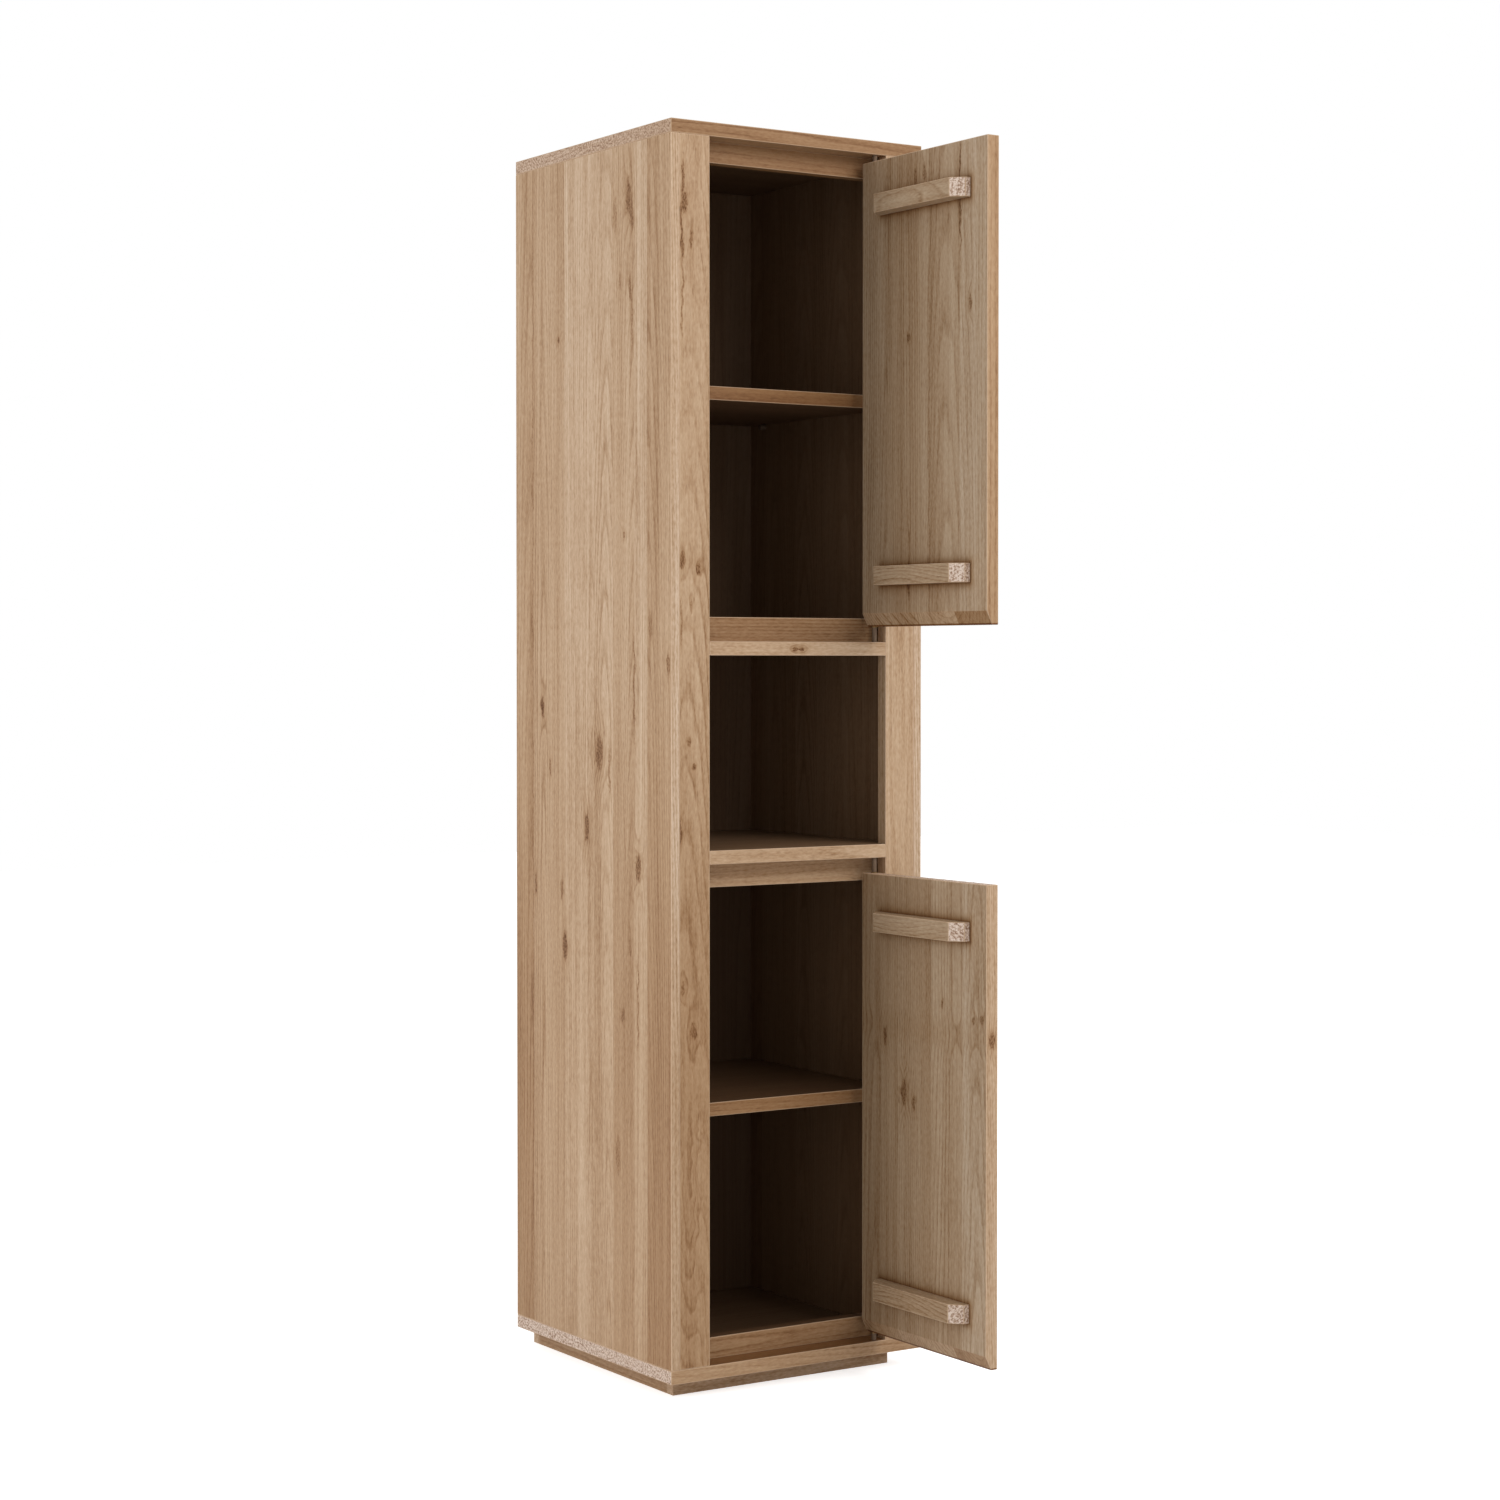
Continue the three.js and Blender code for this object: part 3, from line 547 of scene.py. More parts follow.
def door(name, joints, depths, edge_depth, seed):
    """The slope is browned near the free edge, and the lowest edge is painted dark as shade."""
    lo, hi = low[name], high[name]
    surface = door_surface(lo, hi, joints)
    x, y, z = surface[0].T
    slope = (z < lo[2] + BEVEL_HEIGHT - MARGIN) & (x < hi[0] - 2 * EASE)
    browned = slope & (y > lo[1] + FRONT_CUT) & (y < lo[1] + GRIP_LENGTH)
    more = GRIP_BROWN * browned + EDGE_SHADE_DEPTH * (z < lo[2] + EDGE_SHADE_HEIGHT + TOUCH)
    return board_object(name, surface, "zyx", joints, depths, seed, edge_depth, more)


hinge_edge = high["upper_door"][1]
upper_joints = [hinge_edge - d for d in (0.305, 0.2613, 0.16, 0.07)]
lower_joints = [hinge_edge - d for d in (0.27, 0.19, 0.1)]
door("upper_door", upper_joints, (0.25, 0.1, 0.42, 0.66, 0.5), 0.93, 91)
door("lower_door", lower_joints, (0.15, 0.45, 0.62, 0.8), 0.1, 92)

# %% [markdown]
# ## Battens
#
# Two battens across the inside of each door keep it from warping. Both ends are sawn off at 45
# degrees, so the slanted faces show end grain.

# %% Battens
BATTEN_SLOPE, BATTEN_EASE = 0.018, 0.0008


def batten(name, depth, seed):
    lo, hi = low[name], high[name]
    foot = lo[0] + BATTEN_SLOPE
    corners = [
        (hi[0], lo[1]), (hi[0], hi[1]), (foot, hi[1]), (lo[0], hi[1] - BATTEN_SLOPE),
        (lo[0], lo[1] + BATTEN_SLOPE), (foot, lo[1]),
    ]
    surface = sweep(corners, lo[2], hi[2], "xyz", ease=BATTEN_EASE)
    return board_object(name, surface, "yzx", depths=(depth,), seed=seed)


for i, name in enumerate(n for n in frame["nodes"] if n.endswith("_batten")):
    batten(name, 0.5, 101 + i)
print(len(boards), "boards,", sum(len(b.data.vertices) for b in boards.values()), "points")

# %% [markdown]
# ## Oak
#
# Oak shows several things at once. Broad streaks of darker and lighter wood run the length of a
# stave. Finer fibres lie inside them. Growth rings show as fine lines, straight where the saw cut
# across the rings and in long arches where it ran along them. Short dark pores are sprinkled
# along the rings. The shader makes each of these from noise that is stretched along the grain.

# %% Small helpers for node trees
class Graph:
    """Adds nodes to one tree and wires them, so that a formula reads like a formula."""

    def __init__(self, tree):
        self.tree = tree

    def node(self, kind, values=None, **settings):
        new = self.tree.nodes.new(kind)
        for key, value in settings.items():
            setattr(new, key, value)
        for socket, value in (values or {}).items():
            self.put(value, new.inputs[socket])
        return new

    def put(self, value, socket):
        if isinstance(value, bpy.types.NodeSocket):
            self.tree.links.new(value, socket)
        else:
            socket.default_value = value

    def math(self, operation, a, b=0.0, c=0.0, clamp=False):
        new = self.node("ShaderNodeMath", operation=operation, use_clamp=clamp)
        for socket, value in zip(new.inputs, (a, b, c)):
            self.put(value, socket)
        return new.outputs[0]

    def vector(self, operation, a, b=(0.0, 0.0, 0.0)):
        new = self.node("ShaderNodeVectorMath", operation=operation)
        self.put(a, new.inputs[0])
        self.put(b, new.inputs[1])
        return new.outputs["Value" if operation in ("LENGTH", "DOT_PRODUCT") else "Vector"]

    def split(self, vector):
        return self.node("ShaderNodeSeparateXYZ", {"Vector": vector}).outputs

    def join(self, x, y, z):
        return self.node("ShaderNodeCombineXYZ", {"X": x, "Y": y, "Z": z}).outputs[0]

    def noise(self, point, stretch, detail=2.0, roughness=0.5):
        """Smooth noise whose cells are 1 / stretch metres long in each direction."""
        scaled = self.vector("MULTIPLY", point, stretch)
        values = {"Vector": scaled, "Scale": 1.0, "Detail": detail, "Roughness": roughness}
        return self.node("ShaderNodeTexNoise", values).outputs[0]

    def mix(self, factor, a, b, blend="MIX"):
        """The colours of a mix node are its inputs 6 and 7 and its output 2."""
        new = self.node("ShaderNodeMix", data_type="RGBA", blend_type=blend, clamp_factor=True)
        self.put(factor, new.inputs[0])
        self.put(a, new.inputs[6])
        self.put(b, new.inputs[7])
        return new.outputs[2]

    def ramp(self, factor, stops):
        new = self.node("ShaderNodeValToRGB", {"Fac": factor})
        points = new.color_ramp.elements
        while len(points) < len(stops):
            points.new(0.5)
        for point, (place, colour) in zip(points, stops):
            point.position = place
            point.color = (colour, colour, colour, 1.0) if np.ndim(colour) == 0 else colour
        return new.outputs["Color"]

    def attribute(self, name, output="Fac"):
        return self.node("ShaderNodeAttribute", attribute_name=name).outputs[output]

    def surface(self, shader, output="ShaderNodeOutputMaterial"):
        self.put(shader.outputs[0], self.node(output).inputs["Surface"])


def blank_material(name):
    """A material without nodes, and the graph to fill it with."""
    material = bpy.data.materials.new(name)
    material.use_nodes = True
    material.node_tree.nodes.clear()
    return material, Graph(material.node_tree)


def blank_group(name, inputs, outputs):
    """A node group without nodes, and the graph to fill it with. Its sockets are name and kind."""
    tree = bpy.data.node_groups.new(name, "ShaderNodeTree")
    for in_out, sockets in (("INPUT", inputs), ("OUTPUT", outputs)):
        for label, kind in sockets.items():
            tree.interface.new_socket(label, in_out=in_out, socket_type="NodeSocket" + kind)
    return tree, Graph(tree)


def linear(r, g, b):
    """A colour as a paint program writes it, 0 to 255, as the light values that a shader takes."""
    c = np.array([r, g, b]) / 255
    c = np.where(c <= 0.04045, c / 12.92, ((c + 0.055) / 1.055) ** 2.4)
    return (*c.tolist(), 1.0)


# %% [markdown]
# ### The figure of the wood
#
# Growth rings are cones round the pith, the middle of the trunk. A saw cut through such cones
# gives arches near the pith and straight lines away from it. So the ring number at a point is its
# distance from a pith line divided by the width of a year. The line lies a few centimetres behind
# the face, leans a little and wobbles, and it lies differently in every stave.
#
# One node group holds the recipe, so that every oak material shares it.

# %% Oak figure
def oak_figure():
    results = {"Colour": "Color", "End colour": "Color", "Height": "Float"}
    tree, g = blank_group("oak figure", {"Bulge": "Float"}, results)
    bulge = g.node("NodeGroupInput").outputs["Bulge"]

    point, section = g.attribute("grain", "Vector"), g.attribute("section", "Vector")
    dice = g.node("ShaderNodeTexWhiteNoise", {"W": g.attribute("stave")}, noise_dimensions="1D")
    chance = dice.outputs["Color"]
    shifted = g.vector("ADD", point, g.vector("MULTIPLY", chance, (9.0, 5.0, 5.0)))
    luck, here, place = g.split(chance), g.split(section), g.split(point)

    # Distance from the pith line
    warp = g.noise(shifted, (0.8, 9.0, 9.0), detail=1.0)
    ripple = g.noise(shifted, (5.0, 40.0, 40.0), detail=2.0)
    aside = g.math("ADD", here["X"], g.math("MULTIPLY_ADD", luck["X"], 0.09, -0.045))
    aside = g.math("ADD", aside, g.math("MULTIPLY_ADD", warp, 0.05, -0.025))
    lean = g.math("MULTIPLY", place["X"], g.math("MULTIPLY_ADD", luck["Z"], 0.05, -0.012))
    below = g.math("ADD", g.math("ADD", here["Y"], lean), g.math("MULTIPLY_ADD", luck["Y"], 0.05, 0.01))
    far = g.vector("LENGTH", g.join(aside, below, 0.0))
    year = g.math("MULTIPLY_ADD", luck["Z"], 90.0, 160.0)
    rings = g.math("ADD", g.math("MULTIPLY", far, year), g.math("MULTIPLY_ADD", ripple, 0.9, bulge))
    seasons = [(0.0, 0.35), (0.1, 0.0), (0.28, 0.55), (0.6, 0.85), (0.92, 1.0), (1.0, 0.35)]
    early = g.ramp(g.math("FRACT", rings), seasons)

    # Colour that runs with the grain, from broad bands to single fibres
    value = 0.5
    for stretch, detail, strength in (
        ((0.7, 20.0, 20.0), 1.0, 0.55), ((0.9, 70.0, 70.0), 3.0, 0.75), ((6.0, 210.0, 210.0), 2.0, 0.5),
        ((110.0, 360.0, 360.0), 1.0, 0.7), ((3.0, 9.0, 9.0), 2.0, 0.25),
    ):
        swing = g.noise(shifted, stretch, detail, roughness=0.6)
        value = g.math("ADD", value, g.math("MULTIPLY_ADD", swing, strength, -0.5 * strength))
    figured = g.math("MULTIPLY_ADD", g.noise(shifted, (1.5, 16.0, 16.0)), 2.6, -0.85, clamp=True)
    lines = g.math("MULTIPLY_ADD", early, 0.46, -0.27)
    value = g.math("ADD", value, g.math("MULTIPLY", lines, g.math("MULTIPLY_ADD", figured, 0.75, 0.25)))
    value = g.math("ADD", value, 0.0, clamp=True)
    colour = g.ramp(value, [
        (0.0, linear(146, 109, 75)), (0.25, linear(171, 137, 103)), (0.5, linear(191, 160, 129)),
        (0.75, linear(204, 176, 147)), (1.0, linear(216, 191, 163)),
    ])

    # Pores: short dark dashes, denser in the early part of each ring
    dash = g.noise(shifted, (55.0, 700.0, 700.0), detail=1.0)
    pore = g.math("MULTIPLY_ADD", dash, 8.0, -4.8, clamp=True)
    pore = g.math("MULTIPLY", pore, g.math("MULTIPLY_ADD", early, -0.75, 0.95))
    colour = g.mix(g.math("MULTIPLY", pore, 0.55), colour, linear(122, 86, 56))

    # Cut ends: the same rings, as arcs, under a speckle of cut pores and pale fibre ends
    speckle = g.noise(point, (300.0, 300.0, 300.0), detail=2.0, roughness=0.7)
    coarse = g.noise(point, (1.0, 90.0, 90.0), detail=2.0)
    ends = g.math("MULTIPLY_ADD", speckle, 3.8, -1.6)
    ends = g.math("ADD", ends, g.math("MULTIPLY_ADD", early, 0.4, -0.2))
    ends = g.math("ADD", ends, g.math("MULTIPLY_ADD", coarse, 0.6, 0.0), clamp=True)
    end_colour = g.ramp(ends, [
        (0.0, linear(138, 106, 84)), (0.45, linear(184, 155, 134)), (1.0, linear(226, 207, 192)),
    ])

    height = g.math("SUBTRACT", g.math("MULTIPLY", value, 0.5), pore)
    g.node("NodeGroupOutput", {"Colour": colour, "End colour": end_colour, "Height": height})
    return tree


FIGURE = oak_figure()

# %% [markdown]
# ### Knots
#
# A knot is where a branch grew out of the trunk. Its rim is dark, its heart is brown, and the
# rings of the trunk flow round it. Each knot is a small group with a centre and a size. It
# gives the colour of the knot and adds a bulge to the rings, whose lines then close around it
# like contour lines round a hill. A very long and narrow knot serves as a crack or a bark streak.

# %% Knot
def knot_group():
    given, results = {"Centre": "Vector", "Size": "Vector"}, {"Dark": "Float", "Halo": "Float"}
    tree, g = blank_group("knot", given, results)
    inputs = g.node("NodeGroupInput").outputs
    point = g.attribute("grain", "Vector")
    wander = g.math("MULTIPLY_ADD", g.noise(point, (38.0, 60.0, 60.0)), 0.012, -0.006)
    away = g.vector("ADD", g.vector("SUBTRACT", point, inputs["Centre"]), g.join(0.0, wander, 0.0))
    distance = g.vector("LENGTH", g.vector("DIVIDE", away, inputs["Size"]))
    ragged = g.noise(point, (110.0, 300.0, 300.0), detail=2.0, roughness=0.6)
    body = g.math("ADD", distance, g.math("MULTIPLY_ADD", ragged, 1.8, -0.9))
    heart_to_rim = [(0.0, 0.9), (0.25, 0.65), (0.42, 0.9), (0.6, 0.3), (0.8, 0.0)]
    body = g.ramp(g.math("MULTIPLY", body, 0.5), heart_to_rim)
    specks = g.noise(point, (230.0, 420.0, 420.0), detail=1.0)
    specks = g.math("MULTIPLY_ADD", specks, 5.0, -2.2, clamp=True)
    dark = g.math("MULTIPLY", body, g.math("MULTIPLY_ADD", specks, 0.9, 0.55))
    halo = g.math("EXPONENT", g.math("MULTIPLY", g.math("MULTIPLY", distance, distance), -0.16))
    g.node("NodeGroupOutput", {"Dark": dark, "Halo": halo})
    return tree


KNOT = knot_group()

# %% [markdown]
# ### The whole finish
#
# The material puts the pieces together: the figure, the knots of this one board, the depth of the
# stave, painted highlights on the edges, end grain and painted shade inside the case. The oil
# leaves the wood matt, so it is rough, with a bump that is only a fraction of a millimetre deep.
#
# Depth works like more coats of a brown glaze: each coat lets the same share of red, green and
# blue through, so the colour is multiplied by that share to the power of the depth. Painted shade
# uses depth too, in recesses, on rails and shelves, along the doors' lowest edges and in a rim
# round the battens. The painted shade inside the case works in the same way, but one coat of it
# is much darker.

# %% Oak material
GLAZE = (0.73, 0.63, 0.51)
# One coat of the painted shade that darkens the walls inside the case.
INSIDE_SHADE_COAT = (0.283, 0.235, 0.195)
BARK = (0.30, 0.19, 0.105)
GREY = (0.87, 0.935, 1.0)
FAR = 100.0
HALO_DEPTH = 0.6
# A dark rim of painted contact shade round each batten on its door: how far it fades and how dark.
SHADE_RIM_WIDTH, SHADE_RIM_DEPTH = 0.0045, 3.0
STROKE_LEAN, STROKE_STEP, STROKE_DEPTH = 0.78, 0.025, 1.2


def coats(g, share, depth):
    """What is left of red, green and blue after that many coats: share ** depth."""
    return g.join(*[g.math("POWER", part, depth) for part in share])


def oak_material(name, knots=(), edge_knots=(), raw_ends=0.0, seats=(), strokes=None):
    """knots are (along, across, half length, half width, darkness, rings), lengths in metres, and
    edge_knots are the same with the place through the board instead of across it. raw_ends is how
    much of the glaze the cut ends go without. seats are the centres and half sizes of the places
    where another board is fixed on; round them a dark rim of painted contact shade fades over the
    rim width. strokes is the highest point along, the range across and the farthest point through
    of some slanting marks."""
    material, g = blank_material(name)

    bulge, dark, halo = 0.0, 0.0, 0.0
    placed = [((a, b, 0.0), (length, width, FAR), rest) for a, b, length, width, *rest in knots]
    placed += [((a, 0.0, b), (length, FAR, width), rest) for a, b, length, width, *rest in edge_knots]
    for centre, size, (darkness, rings) in placed:
        knot = g.node("ShaderNodeGroup", {"Centre": centre, "Size": size}, node_tree=KNOT)
        bulge = g.math("MULTIPLY_ADD", knot.outputs["Halo"], rings, bulge)
        halo = g.math("MAXIMUM", g.math("MULTIPLY", knot.outputs["Halo"], darkness), halo)
        dark = g.math("MAXIMUM", g.math("MULTIPLY", knot.outputs["Dark"], darkness), dark)

    figure = g.node("ShaderNodeGroup", {"Bulge": bulge}, node_tree=FIGURE)
    end, inner = g.attribute("end"), g.attribute("inner")
    colour = g.mix(1.0, figure.outputs["Colour"], coats(g, BARK, dark), "MULTIPLY")
    colour = g.mix(end, colour, figure.outputs["End colour"])
    deep = g.math("MULTIPLY_ADD", halo, HALO_DEPTH, g.attribute("deep"))
    for centre, half in seats:
        beyond = g.vector("ABSOLUTE", g.vector("SUBTRACT", g.attribute("grain", "Vector"), centre))
        beyond = g.vector("LENGTH", g.vector("MAXIMUM", g.vector("SUBTRACT", beyond, half)))
        contact_shade = g.math("EXPONENT", g.math("DIVIDE", beyond, -SHADE_RIM_WIDTH))
        deep = g.math("MULTIPLY_ADD", contact_shade, SHADE_RIM_DEPTH, deep)
    if strokes:
        along, across, through = g.split(g.attribute("grain", "Vector"))
        slant = g.math("DIVIDE", g.math("MULTIPLY_ADD", along, -STROKE_LEAN, across), STROKE_STEP)
        mark = g.ramp(g.math("FRACT", slant), [(0.0, 0.0), (0.07, 1.0), (0.12, 0.9), (0.3, 0.0)])
        for operation, place, limit in (
            ("LESS_THAN", along, strokes[0]), ("GREATER_THAN", across, strokes[1]),
            ("LESS_THAN", across, strokes[2]), ("LESS_THAN", through, strokes[3]),
        ):
            mark = g.math("MULTIPLY", mark, g.math(operation, place, limit))
        deep = g.math("MULTIPLY_ADD", mark, STROKE_DEPTH, deep)
    toned = g.mix(1.0, colour, coats(g, GREY, g.attribute("grey")), "MULTIPLY")
    glazed = g.mix(1.0, toned, coats(g, GLAZE, deep), "MULTIPLY")
    colour = g.mix(g.math("MULTIPLY", end, raw_ends), glazed, colour)
    # The broken edges are painted paler, a painted highlight.
    colour = g.mix(g.math("MULTIPLY", g.attribute("arris"), 0.5), colour, linear(216, 187, 157))
    # Inside the case the figure is flattened to one brown and darkened by painted shade.
    colour = g.mix(g.math("MULTIPLY", inner, 0.5), colour, linear(184, 152, 120))
    colour = g.mix(1.0, colour, coats(g, INSIDE_SHADE_COAT, inner), "MULTIPLY")

    height = g.math("SUBTRACT", figure.outputs["Height"], dark)
    bump = g.node("ShaderNodeBump", {"Height": height, "Strength": 0.35, "Distance": 0.0004})
    roughness = g.math("MULTIPLY_ADD", height, -0.12, 0.6)
    values = {"Base Color": colour, "Roughness": roughness, "Normal": bump.outputs["Normal"],
              "IOR": 1.45, "Specular IOR Level": 0.35}
    g.surface(g.node("ShaderNodeBsdfPrincipled", values))
    return material


# %% [markdown]
# The knots of the left side, the left stile, the doors and the niche ceiling are placed one by
# one, because they are what the eye remembers of a wooden panel. The battens have knots without
# darkness, which only bend the rings. On the other boards the figure is left to chance. The slope
# of the upper door also has a few slanting marks where the plane met wild grain.

# %% Boards get their oak
oak = oak_material("oak")
side_oak = oak_material("oak of the left side", knots=[
    (1.893, -0.121, 0.024, 0.0060, 0.75, 2.0), (1.868, -0.131, 0.020, 0.0040, 0.55, 0.0),
    (1.867, -0.080, 0.022, 0.0050, 0.35, 1.0), (1.765, -0.095, 0.012, 0.0030, 0.45, 1.0),
    (1.748, -0.126, 0.018, 0.0030, 0.50, 1.0), (1.705, -0.132, 0.040, 0.0020, 0.45, 0.0),
    (1.688, 0.106, 0.004, 0.0030, 1.00, 0.5), (1.083, 0.158, 0.014, 0.0045, 1.00, 1.5),
    (1.011, -0.027, 0.022, 0.0090, 0.75, 3.0), (0.985, -0.060, 0.034, 0.0035, 0.40, 0.0),
    (0.982, 0.134, 0.012, 0.0025, 0.60, 0.0), (0.888, 0.012, 0.018, 0.0055, 0.95, 2.0),
    (0.832, -0.150, 0.016, 0.0060, 0.90, 2.5), (0.788, 0.183, 0.014, 0.0030, 0.80, 0.5),
    (0.7835, 0.0945, 0.014, 0.0030, 0.60, 0.5), (1.115, -0.138, 0.062, 0.0020, 0.65, 0.0),
    (1.153, -0.241, 0.014, 0.0040, 0.60, 1.0), (0.690, 0.085, 0.018, 0.0050, 0.95, 1.5),
    (0.370, -0.087, 0.024, 0.0060, 0.35, 3.0), (0.620, -0.150, 0.060, 0.0016, 0.50, 0.0),
    (1.213, 0.195, 0.030, 0.0020, 0.40, 0.0), (1.213, -0.187, 0.020, 0.0050, 0.35, 0.5),
    (1.360, -0.107, 0.004, 0.0025, 0.60, 0.5), (0.704, -0.127, 0.014, 0.0030, 0.35, 1.0),
    (0.594, -0.102, 0.010, 0.0040, 0.50, 2.0),
    (1.500, 0.192, 0.40, 0.0012, 0.35, 0.0), (0.600, 0.192, 0.45, 0.0012, 0.35, 0.0),
])
stile_oak = oak_material("oak of the left stile", knots=[
    (1.893, -0.2185, 0.036, 0.0020, 0.80, 4.0), (1.872, -0.2145, 0.014, 0.0040, 0.80, 1.5),
    (1.838, -0.2215, 0.034, 0.0014, 0.90, 0.0), (1.800, -0.2185, 0.014, 0.0020, 0.80, 1.0),
    (1.817, -0.2020, 0.014, 0.0015, 0.60, 0.0), (1.740, -0.2190, 0.070, 0.0012, 0.50, 0.0),
    (1.033, -0.2090, 0.006, 0.0030, 0.60, 0.5), (0.994, -0.1980, 0.004, 0.0030, 0.80, 0.5),
    (0.895, -0.2240, 0.016, 0.0020, 0.70, 0.0), (0.853, -0.2260, 0.006, 0.0020, 0.80, 0.0),
    (1.317, -0.2200, 0.010, 0.0035, 0.85, 1.5), (1.303, -0.1890, 0.008, 0.0030, 0.70, 1.0),
    (1.245, -0.2036, 0.008, 0.0020, 0.40, 1.0), (1.218, -0.2219, 0.030, 0.0016, 0.40, 0.0),
    (0.648, -0.2184, 0.010, 0.0030, 0.50, 1.5), (0.581, -0.1991, 0.012, 0.0045, 0.45, 1.2),
    (0.300, -0.2095, 0.110, 0.0090, 0.0, 4.0),
])


def batten_seats(door_name):
    """Centre and half size, along, across and through the door, of the places its battens cover."""
    out = []
    for name in (door_name + "_top_batten", door_name + "_bottom_batten"):
        middle, half = 0.5 * (low[name] + high[name]), 0.5 * (high[name] - low[name])
        out.append(((middle[2], middle[1], low[door_name][0]), (half[2], half[1], 0.002)))
    return out


upper_door_oak = oak_material("oak of the upper door", seats=batten_seats("upper_door"), knots=[
    (1.922, -0.374, 0.014, 0.0040, 0.5, 1.0), (1.928, -0.396, 0.012, 0.0040, 0.5, 1.0),
    (1.713, -0.516, 0.010, 0.0040, 0.6, 1.5), (1.672, -0.356, 0.005, 0.0030, 0.6, 0.5),
    (1.285, -0.356, 0.030, 0.0020, 0.7, 0.5), (1.900, hinge_edge - 0.262, 0.085, 0.0016, 0.9, 0.0),
    (1.300, -0.410, 0.40, 0.0020, 0.25, 0.0),
], strokes=(low["upper_door"][2] + BEVEL_HEIGHT - 0.001, -0.372, -0.262, high["upper_door"][0] - 0.003))
lower_door_oak = oak_material("oak of the lower door", seats=batten_seats("lower_door"), knots=[
    (0.555, -0.292, 0.010, 0.0040, 0.8, 2.0), (0.623, -0.446, 0.006, 0.0030, 0.6, 0.5),
    (0.471, -0.345, 0.016, 0.0060, 0.7, 3.0), (0.4565, -0.372, 0.010, 0.0040, 0.6, 1.0),
    (0.603, -0.526, 0.006, 0.0030, 0.6, 0.5), (0.605, -0.549, 0.006, 0.0030, 0.6, 0.5),
], edge_knots=[(0.574, high["lower_door"][0] - 0.011, 0.010, 0.0050, 0.9, 1.5)])
ceiling_oak = oak_material("oak of the niche ceiling", edge_knots=[
    (-0.008, low["niche_ceiling_board"][2] + 0.010, 0.004, 0.0025, 1.0, 0.8),
    (0.004, low["niche_ceiling_board"][2] + 0.010, 0.004, 0.0025, 1.0, 0.8),
])
bottom_oak = oak_material("oak of the bottom board", raw_ends=0.9)
batten_names = [name for name in boards if name.endswith("_batten")]
batten_oak = oak_material("oak of the battens", raw_ends=0.85, knots=[
    (-0.36, 0.5 * (low[name][2] + high[name][2]), 0.045, 0.010, 0.0, 3.0) for name in batten_names
])
oak_of = {
    "side_panel_left": side_oak, "stile_left": stile_oak, "upper_door": upper_door_oak,
    "lower_door": lower_door_oak, "niche_ceiling_board": ceiling_oak, "bottom_board": bottom_oak,
}
oak_of.update({name: batten_oak for name in batten_names})
for name, board in boards.items():
    board.data.materials.append(oak_of.get(name, oak))

# %% [markdown]
# ## Fittings
#
# The pins, bushes and screws are too small to see much of, but each still gets the finish of its
# metal: turned steel with a bronze tint, plain brass with dull stains, and soft rubber.

# %% Metal and rubber
def metal(name, colour, stain, roughness, metallic=0.9):
    material, g = blank_material(name)
    point = g.node("ShaderNodeTexCoord").outputs["Object"]
    cloud = g.noise(point, (400.0, 400.0, 400.0), detail=3.0)
    shade = g.mix(cloud, colour, stain)
    shader = g.node("ShaderNodeBsdfPrincipled", {"Base Color": shade, "Metallic": metallic})
    g.put(g.math("MULTIPLY_ADD", cloud, 0.25, roughness - 0.1), shader.inputs["Roughness"])
    g.surface(shader)
    return material


def rubber_material():
    material, g = blank_material("rubber")
    point = g.node("ShaderNodeTexCoord").outputs["Object"]
    grit = g.noise(point, (900.0, 900.0, 900.0), detail=2.0)
    shade = g.mix(grit, linear(46, 38, 32), linear(66, 56, 48))
    bump = g.node("ShaderNodeBump", {"Height": grit, "Strength": 0.3, "Distance": 0.0002})
    values = {"Base Color": shade, "Roughness": 0.85, "Normal": bump.outputs["Normal"]}
    g.surface(g.node("ShaderNodeBsdfPrincipled", values))
    return material


fitting_finish = {
    "steel": metal("bronzed steel", linear(122, 100, 80), linear(90, 71, 54), 0.7, metallic=0.3),
    "brass": metal("dull brass", linear(158, 128, 80), linear(110, 86, 52), 0.45),
    "rubber": rubber_material(),
}
for name, node in frame["nodes"].items():
    if name not in boards:
        node.data.materials.clear()
        node.data.materials.append(fitting_finish[finish_of[name]])

# %% [markdown]
# ## Floor, light and camera
#
# A white floor and a white surround look like a studio. The surround is drawn white only where
# the camera or a reflection sees it. The light that falls on the wood comes from a weaker sky and
# two large soft lamps, so that the oak shows the colour that was written for it.

# %% Floor
FLOOR_REACH, FLOOR_GLOW, SKY_STRENGTH = 12, 0.72, 0.68


def seen_by_camera(g):
    """1 for what the camera sees, itself or in a reflection, and 0 for light that falls on wood."""
    path = g.node("ShaderNodeLightPath")
    seen = g.math("MAXIMUM", path.outputs["Is Camera Ray"], path.outputs["Is Glossy Ray"])
    return g.math("MAXIMUM", seen, path.outputs["Is Transmission Ray"])


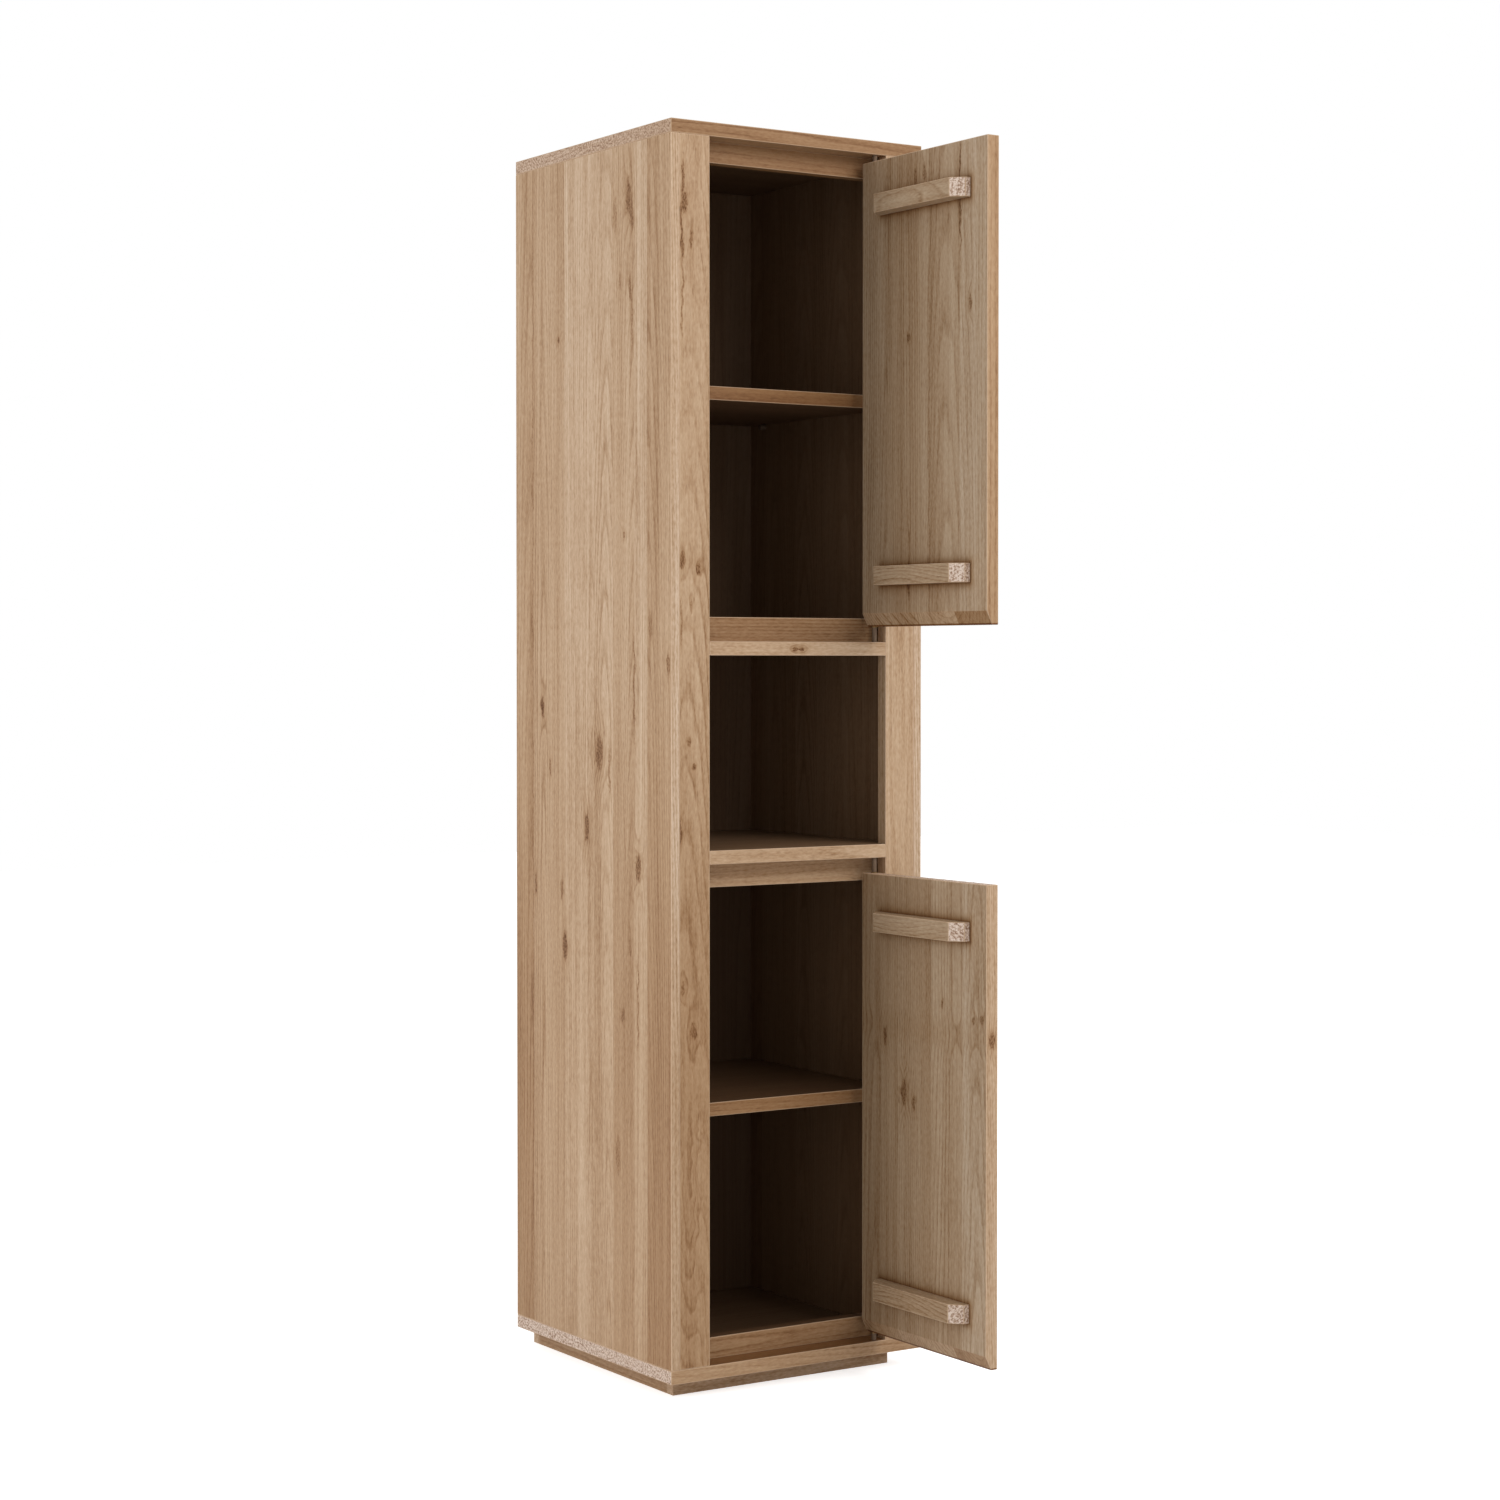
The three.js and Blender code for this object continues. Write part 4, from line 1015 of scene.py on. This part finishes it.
def floor_plane():
    mesh = bpy.data.meshes.new("floor")
    square = ((-1, -1), (1, -1), (1, 1), (-1, 1))
    mesh.from_pydata([(FLOOR_REACH * x, FLOOR_REACH * y, 0) for x, y in square], [], [(0, 1, 2, 3)])
    floor = bpy.data.objects.new("floor", mesh)
    bpy.context.scene.collection.objects.link(floor)
    material, g = blank_material("floor")
    lit = g.node("ShaderNodeBsdfDiffuse", {"Color": (0.8, 0.8, 0.8, 1)})
    pale = g.node("ShaderNodeEmission", {"Color": (1, 1, 1, 1), "Strength": FLOOR_GLOW})
    both = g.node("ShaderNodeAddShader")
    g.put(lit.outputs[0], both.inputs[0])
    g.put(pale.outputs[0], both.inputs[1])
    choice = g.node("ShaderNodeMixShader")
    g.put(seen_by_camera(g), choice.inputs[0])
    g.put(lit.outputs[0], choice.inputs[1])
    g.put(both.outputs[0], choice.inputs[2])
    g.surface(choice)
    mesh.materials.append(material)


floor_plane()

# %% Sky
world = bpy.data.worlds.new("studio")
bpy.context.scene.world = world
world.use_nodes = True
world.node_tree.nodes.clear()
g = Graph(world.node_tree)
strength = g.math("MULTIPLY_ADD", seen_by_camera(g), 1.0 - SKY_STRENGTH, SKY_STRENGTH)
background = g.node("ShaderNodeBackground", {"Color": (1.0, 1.0, 1.0, 1), "Strength": strength})
g.surface(background, "ShaderNodeOutputWorld")

# %% Lamps
def soft_lamp(name, place, aim, width, height, watts):
    lamp = bpy.data.lights.new(name, "AREA")
    lamp.shape = "RECTANGLE"
    lamp.size, lamp.size_y, lamp.energy = width, height, watts
    holder = bpy.data.objects.new(name, lamp)
    bpy.context.scene.collection.objects.link(holder)
    direction = np.array(aim) - np.array(place)
    yaw = math.atan2(direction[1], direction[0]) - math.pi / 2
    pitch = math.atan2(direction[2], math.hypot(direction[0], direction[1])) + math.pi / 2
    holder.location = place
    holder.rotation_euler = (pitch, 0, yaw)


soft_lamp("left lamp", (-3.2, 0.5, 1.3), (0, 0, 1.1), 1.4, 2.6, 28)
soft_lamp("front lamp", (0.9, -3.4, 3.2), (0, 0, 1.0), 2.4, 1.6, 60)

# %% [markdown]
# The camera stands to the left of the cabinet at a little over half its height and looks almost
# level, so the uprights stay almost upright. The lens is a long one, about 73 mm, which keeps the
# perspective calm.

# %% Camera
TILT_DOWN, TURN_RIGHT = 1.087, 33.009
camera_data = bpy.data.cameras.new("camera")
camera = bpy.data.objects.new("camera", camera_data)
bpy.context.scene.collection.objects.link(camera)
camera.location = (-2.6972, -4.2571, 1.1569)
camera.rotation_euler = (math.radians(90 - TILT_DOWN), 0, -math.radians(TURN_RIGHT))
camera_data.sensor_width = 36
camera_data.lens = 72.667
camera_data.shift_y = -0.02
bpy.context.scene.camera = camera
bpy.context.scene.view_settings.view_transform = "Standard"
